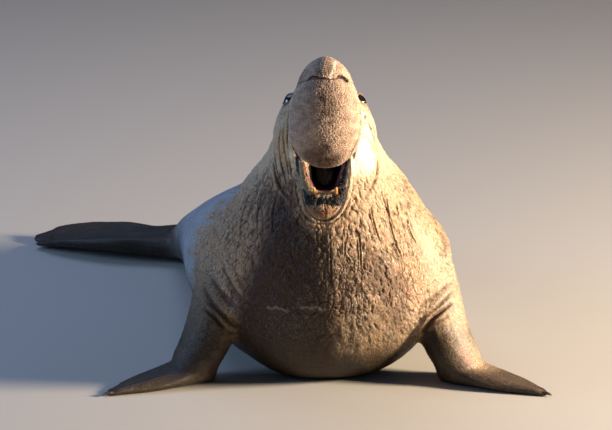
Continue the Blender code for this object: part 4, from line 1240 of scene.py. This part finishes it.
def pegMesh(name, axes, kind, bend):
    # pointed bodies from root to tip, with how far each point is from its root
    bm = bmesh.new()
    fromRoot = bm.verts.layers.float.new("fromRoot")
    for number, (root, tip, radius) in enumerate(axes):
        rows = []
        for t, share in zip(pegShape["share"], pegShape[kind]):
            middle = root.lerp(tip, t) + bend * math.sin(math.pi * t)
            rows.append((*middle, radius * share * (1 + 0.05 * math.sin(5 * t + number))))
        for t, ring in zip(pegShape["share"], addTube(bm, rows, 12)):
            for vertex in ring:
                vertex[fromRoot] = t
    return finishTubes(bm, name)


def pegMaterial(name, stops, roughness, scratchSize):
    # enamel, horn and stiff hair: hard, smooth, and darker at the root, with an uneven stain
    material, tree, shader = newMaterial(name, Roughness=roughness, Coat_Weight=0.3, Coat_Roughness=0.2)
    fromRoot = addNode(tree, "ShaderNodeAttribute", attribute_name="fromRoot").outputs["Fac"]
    stain = addNode(tree, "ShaderNodeTexNoise", {"Scale": 1 / scratchSize, "Detail": 4.0}).outputs["Fac"]
    stain = addNode(tree, "ShaderNodeMapRange", {"Value": stain, "To Min": -0.22, "To Max": 0.22}).outputs[0]
    mixed = addNode(tree, "ShaderNodeMath", {0: fromRoot, 1: stain}, operation="ADD").outputs[0]
    shadeAlong(tree, shader, mixed, stops)
    bump = addNode(tree, "ShaderNodeBump", {"Height": stain, "Distance": 0.0006})
    tree.links.new(bump.outputs[0], shader.inputs["Normal"])
    return material


pegStops = {
    "tooth": [(0.1, "#3c2416"), (0.35, "#7c4820"), (0.6, "#c07c3a"), (1.0, "#d9a566")],
    "claw": [(0.05, "#171210"), (0.5, "#2f2620"), (1.0, "#6b5a48")],
    "whisker": [(0.0, "#120d0a"), (0.6, "#2d2018"), (1.0, "#7a5c3c")],
}
toothStain = pegMaterial("enamelStained", pegStops["tooth"], 0.35, 0.004)
toothRows = []
for root, tip, radius in teethAxes():
    small = radius < 0.006  # the cheek teeth and incisors, which hardly clear the gum
    toothRows.append((root, root.lerp(tip, 0.52) if small else tip, radius))
addPiece("teeth", pegMesh("teeth", toothRows, "tooth", jawForward * -0.003), [toothStain], "hide")
clawHorn = pegMaterial("clawHorn", pegStops["claw"], 0.45, 0.003)
clawRows = [(root, tip, 0.0082) for root, tip in clawAxes()]
addPiece("claws", pegMesh("claws", clawRows, "claw", Vector((0, 0, 0.0045))), [clawHorn], "flipper")
print("teeth and claws: ready")


# Tongue: the solid's own form, evened, with a groove down its middle


tongue = {
    "voxel": 0.0022,
    "groove": 0.004,  # depth, in metres
    "grooveWidth": 0.006,
    "buds": 0.006,  # real ones are finer, and are drawn this coarse so that they show
}


def tongueMesh():
    bm = bmesh.new()
    bm.from_mesh(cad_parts["tongue"].data)
    bmesh.ops.remove_doubles(bm, verts=bm.verts, dist=0.0001)
    mesh = withModifier(meshFrom(bm, "tongue"), "REMESH", mode="VOXEL", voxel_size=tongue["voxel"])
    points = Evener(mesh).even(pointsOf(mesh), 0.5, 12)
    across = inJaw(points)[:, 2]
    normals = normalsOf(mesh)
    drop = tongue["groove"] * np.exp(-(across / tongue["grooveWidth"]) ** 2)
    drop += 0.0010 * softNoise(points, tongue["buds"], 61)
    points -= normals * (drop * ramp(normals @ np.array(jawUp), 0.1, 0.5))[:, None]
    setPoints(mesh, points)
    mesh.shade_smooth()
    return mesh


def tongueMaterial():
    # wet muscle: dark red, painted nearly black as the shade deep in the mouth, glossy, with fine bumps
    facts = {"Roughness": 0.28, "Coat_Weight": 0.4, "Coat_Roughness": 0.1}
    material, tree, shader = newMaterial("tongueWetMuscleShaded", **facts)
    buds = shadePatches(tree, shader, tongue["buds"], 3.0, "#0e0606", "#2b1313")
    bump = addNode(tree, "ShaderNodeBump", {"Height": buds, "Distance": 0.0012})
    tree.links.new(bump.outputs[0], shader.inputs["Normal"])
    return material


addPiece("tongue_wet", tongueMesh(), [tongueMaterial()], "tongue", "tongue")

# Eyes: an eyeball with a bulging cornea in front, its pole on the way it looks


eyeRings = [  # from the pole outwards: pupil, iris, its dark edge, and the brown white of the eye
    (0.16, "#040303"), (0.24, "#1f120b"), (0.38, "#28170e"), (0.46, "#080605"), (0.75, "#1a1412"),
]


def eyeMesh(side):
    bm = bmesh.new()
    bmesh.ops.create_uvsphere(bm, u_segments=64, v_segments=40, radius=plan["eyeRadius"])
    layer = bm.verts.layers.float.new("fromPole")
    for vertex in bm.verts:
        angle = math.degrees(vertex.co.normalized().angle(Vector((0, 0, 1))))
        vertex[layer] = angle
        vertex.co *= 1.0 + 0.035 * math.exp(-((angle / 27.0) ** 2))
    turn = eyeLookOf(side).to_track_quat("Z", "Y").to_matrix().to_4x4()
    bm.transform(Matrix.Translation(eyeMiddles[side]) @ turn)
    return finishTubes(bm, "eye")


def eyeMaterial():
    # living eye: a wet clear cornea over a nearly black brown iris, so it is glossy black with sharp lights
    facts = {"Roughness": 0.05, "Coat_Weight": 1.0, "Coat_Roughness": 0.02, "IOR": 1.376}
    material, tree, shader = newMaterial("eyeWetCornea", **facts)
    angle = addNode(tree, "ShaderNodeAttribute", attribute_name="fromPole").outputs["Fac"]
    rays = addNode(tree, "ShaderNodeTexNoise", {"Scale": 160.0})
    waver = addNode(tree, "ShaderNodeMath", {0: rays.outputs["Fac"], 1: 6.0}, operation="MULTIPLY").outputs[0]
    placed = addNode(tree, "ShaderNodeMath", {0: angle, 1: waver}, operation="ADD").outputs[0]
    share = addNode(tree, "ShaderNodeMapRange", {"Value": placed, "From Max": 90.0}).outputs[0]
    shadeAlong(tree, shader, share, eyeRings)
    return material


def lidEdgeMesh(side):
    # the thin wet edge of the lids, which hugs the eyeball
    look, ahead, above = eyeFrame(side)
    turns = np.linspace(0, 2 * math.pi, 72, endpoint=False)
    angles = np.radians(openingAt(turns) + 0.8)
    ways = np.outer(np.cos(angles), look)
    ways += np.sin(angles)[:, None] * (np.outer(np.cos(turns), ahead) + np.outer(np.sin(turns), above))
    places = np.array(eyeMiddles[side]) + ways * (plan["eyeRadius"] + 0.0010)
    bm = bmesh.new()
    addTube(bm, np.column_stack([places, np.full(len(places), eyelid["wetEdge"])]), 8, True)
    return finishTubes(bm, "lidEdge")


corneaMaterial = eyeMaterial()
# a lid's bare edge: nearly black skin, wet with tears
lidSkin, lidTree, lidShader = newMaterial("lidEdgeWetSkin", Roughness=0.25, Coat_Weight=0.6)
shadePatches(lidTree, lidShader, 0.003, 2.0, "#0c0807", "#2c1d18")
for side, name in ((1, "left"), (-1, "right")):
    addPiece("eye_ball_" + name, eyeMesh(side), [corneaMaterial], "eye", "eye_" + name)
    addPiece("lid_edge_" + name, lidEdgeMesh(side), [lidSkin], "hide")
print("tongue and eyes: ready")

# Whiskers: stiff dark hairs in rows on the upper lips, and a few over each eye

whisker = {
    "rows": 4, "inRow": 6, "length": (0.035, 0.105), "radius": 0.0007,
    "brow": [(0.030, 0.060), (0.014, 0.066), (0.046, 0.058)],  # forward and up from each eye
}


def whiskerMesh(tree):
    rng = np.random.default_rng(11)
    bm = bmesh.new()
    fromRoot = bm.verts.layers.float.new("fromRoot")
    starts = []
    for side in (-1, 1):
        for row in range(whisker["rows"]):
            for k in range(whisker["inRow"]):
                forward, up = 0.10 + 0.022 * k + 0.006 * row, -0.120 - 0.017 * row + 0.003 * k
                starts.append((headPoint(forward, up, 0.30 * side), headPoint(forward, up, 0.0), 1.0))
        for forward, up in whisker["brow"]:
            over = eyeMiddles[side] + headForward * forward + headUp * (up + 0.10)
            across = headSide * (0.05 * side)
            starts.append((over + across, eyeMiddles[side] - across, 0.7))
    for start, goal, size in starts:
        way = (goal - start).normalized()
        root, normal = tree.ray_cast(start, way)[:2]
        if root is None or mouthShare(np.array([root]))[0] > 0.2:
            continue
        length = rng.uniform(*whisker["length"]) * size
        back, down = headForward * rng.uniform(0.3, 0.7), headUp * rng.uniform(0.1, 0.5)
        out = (normal * 0.9 - back - down).normalized()
        rows = []
        for t in np.linspace(0, 1, 8):
            bend = headForward * (0.25 * length * t * t)
            bent = root + out * (length * t) - bend - Vector((0, 0, 0.22 * length * t * t))
            rows.append((*(bent - normal * 0.002 * (1 - t)), whisker["radius"] * (1 - 0.85 * t)))
        for t, ring in zip(np.linspace(0, 1, 8), addTube(bm, rows, 5)):
            for vertex in ring:
                vertex[fromRoot] = t
    return finishTubes(bm, "whiskers")


whiskerHair = pegMaterial("whiskerStiffHair", pegStops["whisker"], 0.35, 0.01)
addPiece("whiskers", whiskerMesh(skinTree), [whiskerHair], "hide")

# Coat: thin tufts of short flat fur that overlap like tiles, rooted all over the skin

coat = {
    "tufts": 150000,
    "body": 0.0090,  # length in metres, by place
    "neck": 0.0115,
    "head": 0.0058,
    "face": 0.0036,
    "flippers": 0.0048,
    "nose": 0.0028,
    "width": 0.26,  # share of the length
    "lift": 0.13,  # how steeply the tips stand up
}


coatParts = ("head", "chest", "shoulders", "trunk", "rump", "neck", "fore_left", "fore_right", "hind")


def flowOf(points):
    # the way the hair lies: back from the nose to the tail, and down the flippers
    region = regionsOf(points)
    flow = -lines["body"].straighten(points)[1]
    x = inPlan(points)[:, 0]
    for name, share in limbShares(region, x):
        near = np.flatnonzero(share > 0.01)
        ahead = lines[name].straighten(points[near])[1]
        flow[near] += (ahead - flow[near]) * share[near][:, None]
    return flow


def rootsOnSkin(mesh):
    # seeded random places all over the skin: the corners and their shares
    mesh.calc_loop_triangles()
    corners = np.empty(len(mesh.loop_triangles) * 3, np.int32)
    mesh.loop_triangles.foreach_get("vertices", corners)
    corners = corners.reshape(-1, 3)
    points = pointsOf(mesh)
    a, b, c = (points[corners[:, k]] for k in range(3))
    areas = np.linalg.norm(np.cross(b - a, c - a), axis=1)
    rng = np.random.default_rng(5)
    chosen = np.searchsorted(np.cumsum(areas) / areas.sum(), rng.random(coat["tufts"]))
    first, second = np.sqrt(rng.random(coat["tufts"])), rng.random(coat["tufts"])
    shares = np.stack([1 - first, first * (1 - second), first * second], axis=1)
    return corners[np.minimum(chosen, len(corners) - 1)], shares, rng


def growCoat(mesh, packs, straight):
    corners, shares, rng = rootsOnSkin(mesh)

    def atRoots(values):
        return np.einsum("nk,nk...->n...", shares, values[corners])

    points, normals, along = atRoots(pointsOf(mesh)), unit(atRoots(normalsOf(mesh))), atRoots(straight)
    marks = {name: atRoots(values) for name, values in packs.items()}
    region = regionsOf(points)
    x, y, z = inPlan(points).T
    long = np.full(len(points), coat["body"])
    for share, size in (
        (ramp(z, 0.45, 0.8) * (1 - ramp(y, 0.4, 0.8)), coat["neck"]), (region["head"], coat["head"]),
        (region["face"], coat["face"]), (nearEye(points, 0.015), coat["face"]),
        (region["bulb"], coat["nose"]),
        (np.maximum(region["hand"], region["hind"]), coat["flippers"]),
    ):
        long += (size - long) * share
    long *= rng.uniform(0.75, 1.3, len(points))
    lips = marks["marksLip"].max(axis=1) + marks["marksFace"].max(axis=1) + marks["marksHead"][:, 2]
    keep = (lips < 0.15) & (z > 0.006) & (nearEye(points, -0.004) < 0.5)
    keep &= rng.random(len(points)) > 0.75 * region["bulb"]
    flow = flowOf(points) + 0.30 * noiseRows(along, 0.05, 90, 3)
    flow += rng.normal(0, 0.10, flow.shape)
    flow = unit(flow - normals * (flow * normals).sum(1)[:, None])
    side = np.cross(normals, flow)
    wide = long * coat["width"]
    lift = coat["lift"] * rng.uniform(0.6, 1.5, len(points))
    sunk = points - normals * 0.0006
    tufts = np.stack([
        sunk - side * (wide / 2)[:, None], sunk + side * (wide / 2)[:, None],
        points + flow * (long * 0.3)[:, None] + normals * (0.10 * long)[:, None],
        points + flow * long[:, None] + normals * (lift * long)[:, None],
    ], axis=1)
    part = np.full(len(points), coatParts.index("rump"))
    arm = region["arm"] > 0.5
    for name, inside in (  # a later one takes over from an earlier one
        ("trunk", y < 1.30), ("shoulders", y < 0.80), ("chest", y < 0.40), ("neck", (y < 0.40) & (z > 0.74)),
        ("head", region["head"] > 0.5), ("fore_left", arm & (x > 0)), ("fore_right", arm & (x < 0)),
        ("hind", region["hind"] > 0.5),
    ):
        part[inside] = coatParts.index(name)
    return tufts, normals, flow, along, marks, np.where(keep, part, -1)


tuftFaces = np.array([(0, 2, 1), (0, 1, 3), (1, 2, 3), (2, 0, 3)])
tuftPatch = np.array([(0.0, 0.0), (0.003, 0.0), (0.0015, 0.0012), (0.0015, 0.003)])


def coatMesh(name, tufts, normals, flow, along, marks):
    count = len(tufts)
    faces = (tuftFaces[None] + 4 * np.arange(count)[:, None, None]).reshape(-1, 3)
    mesh = bpy.data.meshes.new(name)
    mesh.vertices.add(count * 4)
    mesh.vertices.foreach_set("co", tufts.astype(np.float32).ravel())
    mesh.loops.add(len(faces) * 3)
    mesh.loops.foreach_set("vertex_index", faces.astype(np.int32).ravel())
    mesh.polygons.add(len(faces))
    mesh.polygons.foreach_set("loop_start", np.arange(0, len(faces) * 3, 3, dtype=np.int32))
    mesh.update(calc_edges=True)
    mesh.validate()
    mesh.shade_smooth()
    # each tuft is a small patch at its root's place on the straightened skin
    turn = np.arctan2(along[:, 1], along[:, 2]) / (2 * math.pi) + 0.5
    length = along[:, 0] - along[:, 0].min()
    root = np.stack([length / max(length.max(), 1e-6), turn], axis=1) * 0.99
    corners = (root[:, None, None] + tuftPatch[tuftFaces][None]).reshape(-1, 2)
    layer = mesh.uv_layers.new(name="OFBake")
    layer.data.foreach_set("uv", corners.astype(np.float32).ravel())
    packs = {key: np.repeat(marks[key], 4, axis=0) for key in coatPacks}
    storeMarks(mesh, packs, np.repeat(along, 4, axis=0))
    lean = np.repeat(normals, 4, axis=0)
    lean[3::4] = unit(lean[3::4] + 0.25 * flow)
    mesh.normals_split_custom_set_from_vertices(lean.tolist())
    return mesh


tufts, tuftNormals, tuftFlow, tuftAlong, tuftMarks, tuftPart = growCoat(skinFinal, skinPacks, skinStraight)
furMaterial = hideMaterial("furShortStiff", False)
for number, name in enumerate(coatParts):
    mine = tuftPart == number
    picked = {key: values[mine] for key, values in tuftMarks.items()}
    mesh = coatMesh("coat_" + name, tufts[mine], tuftNormals[mine], tuftFlow[mine], tuftAlong[mine], picked)
    onLimb = name.startswith(("fore", "hind"))
    addPiece("coat_" + name, mesh, [furMaterial], "flipper" if onLimb else "hide")
    print("coat:", name, int(mine.sum()), "tufts")

# Floor and light

studio = {
    "floor": "#b3ada3",
    "key": {"place": (9.5, -2.3, 3.0), "size": 1.8, "power": 3550.0, "tint": "#ffeacf"},
    "fill": {"place": (-9.5, -1.5, 4.2), "size": 5.0, "power": 560.0, "tint": "#9fc3f6"},
    "top": {"place": (-2.0, 4.0, 9.0), "size": 8.0, "power": 300.0, "tint": "#b4caff"},
    "world": ("#a9bfe2", 0.15),
}


def makeFloor():
    bm = bmesh.new()
    bmesh.ops.create_grid(bm, x_segments=2, y_segments=2, size=60.0)
    # matt pale paint: it throws soft warm light up under the animal
    material, _, shader = newMaterial("floorPaintedPale", Roughness=0.8)
    shader.inputs["Base Color"].default_value = colour(studio["floor"])
    linkObject("floor", meshFrom(bm, "floor"), [material])


def makeLights():
    for name in ("key", "fill", "top"):
        facts = studio[name]
        data = bpy.data.lights.new(name, "AREA")
        data.shape, data.size = "DISK", facts["size"]
        data.energy, data.color = facts["power"], colour(facts["tint"])[:3]
        lamp = bpy.data.objects.new(name, data)
        bpy.context.scene.collection.objects.link(lamp)
        lamp.location = facts["place"]
        aim = Vector((0.15, -0.6, 0.7)) - lamp.location
        lamp.rotation_euler = aim.to_track_quat("-Z", "Y").to_euler()
    world = bpy.data.worlds.new("studio")
    world.use_nodes = True
    tint, strength = studio["world"]
    back = world.node_tree.nodes["Background"]
    back.inputs["Color"].default_value = colour(tint)
    back.inputs["Strength"].default_value = strength
    bpy.context.scene.world = world
    bpy.context.scene.view_settings.view_transform = "Standard"


makeFloor()
makeLights()
print("studio: floor and light ready")
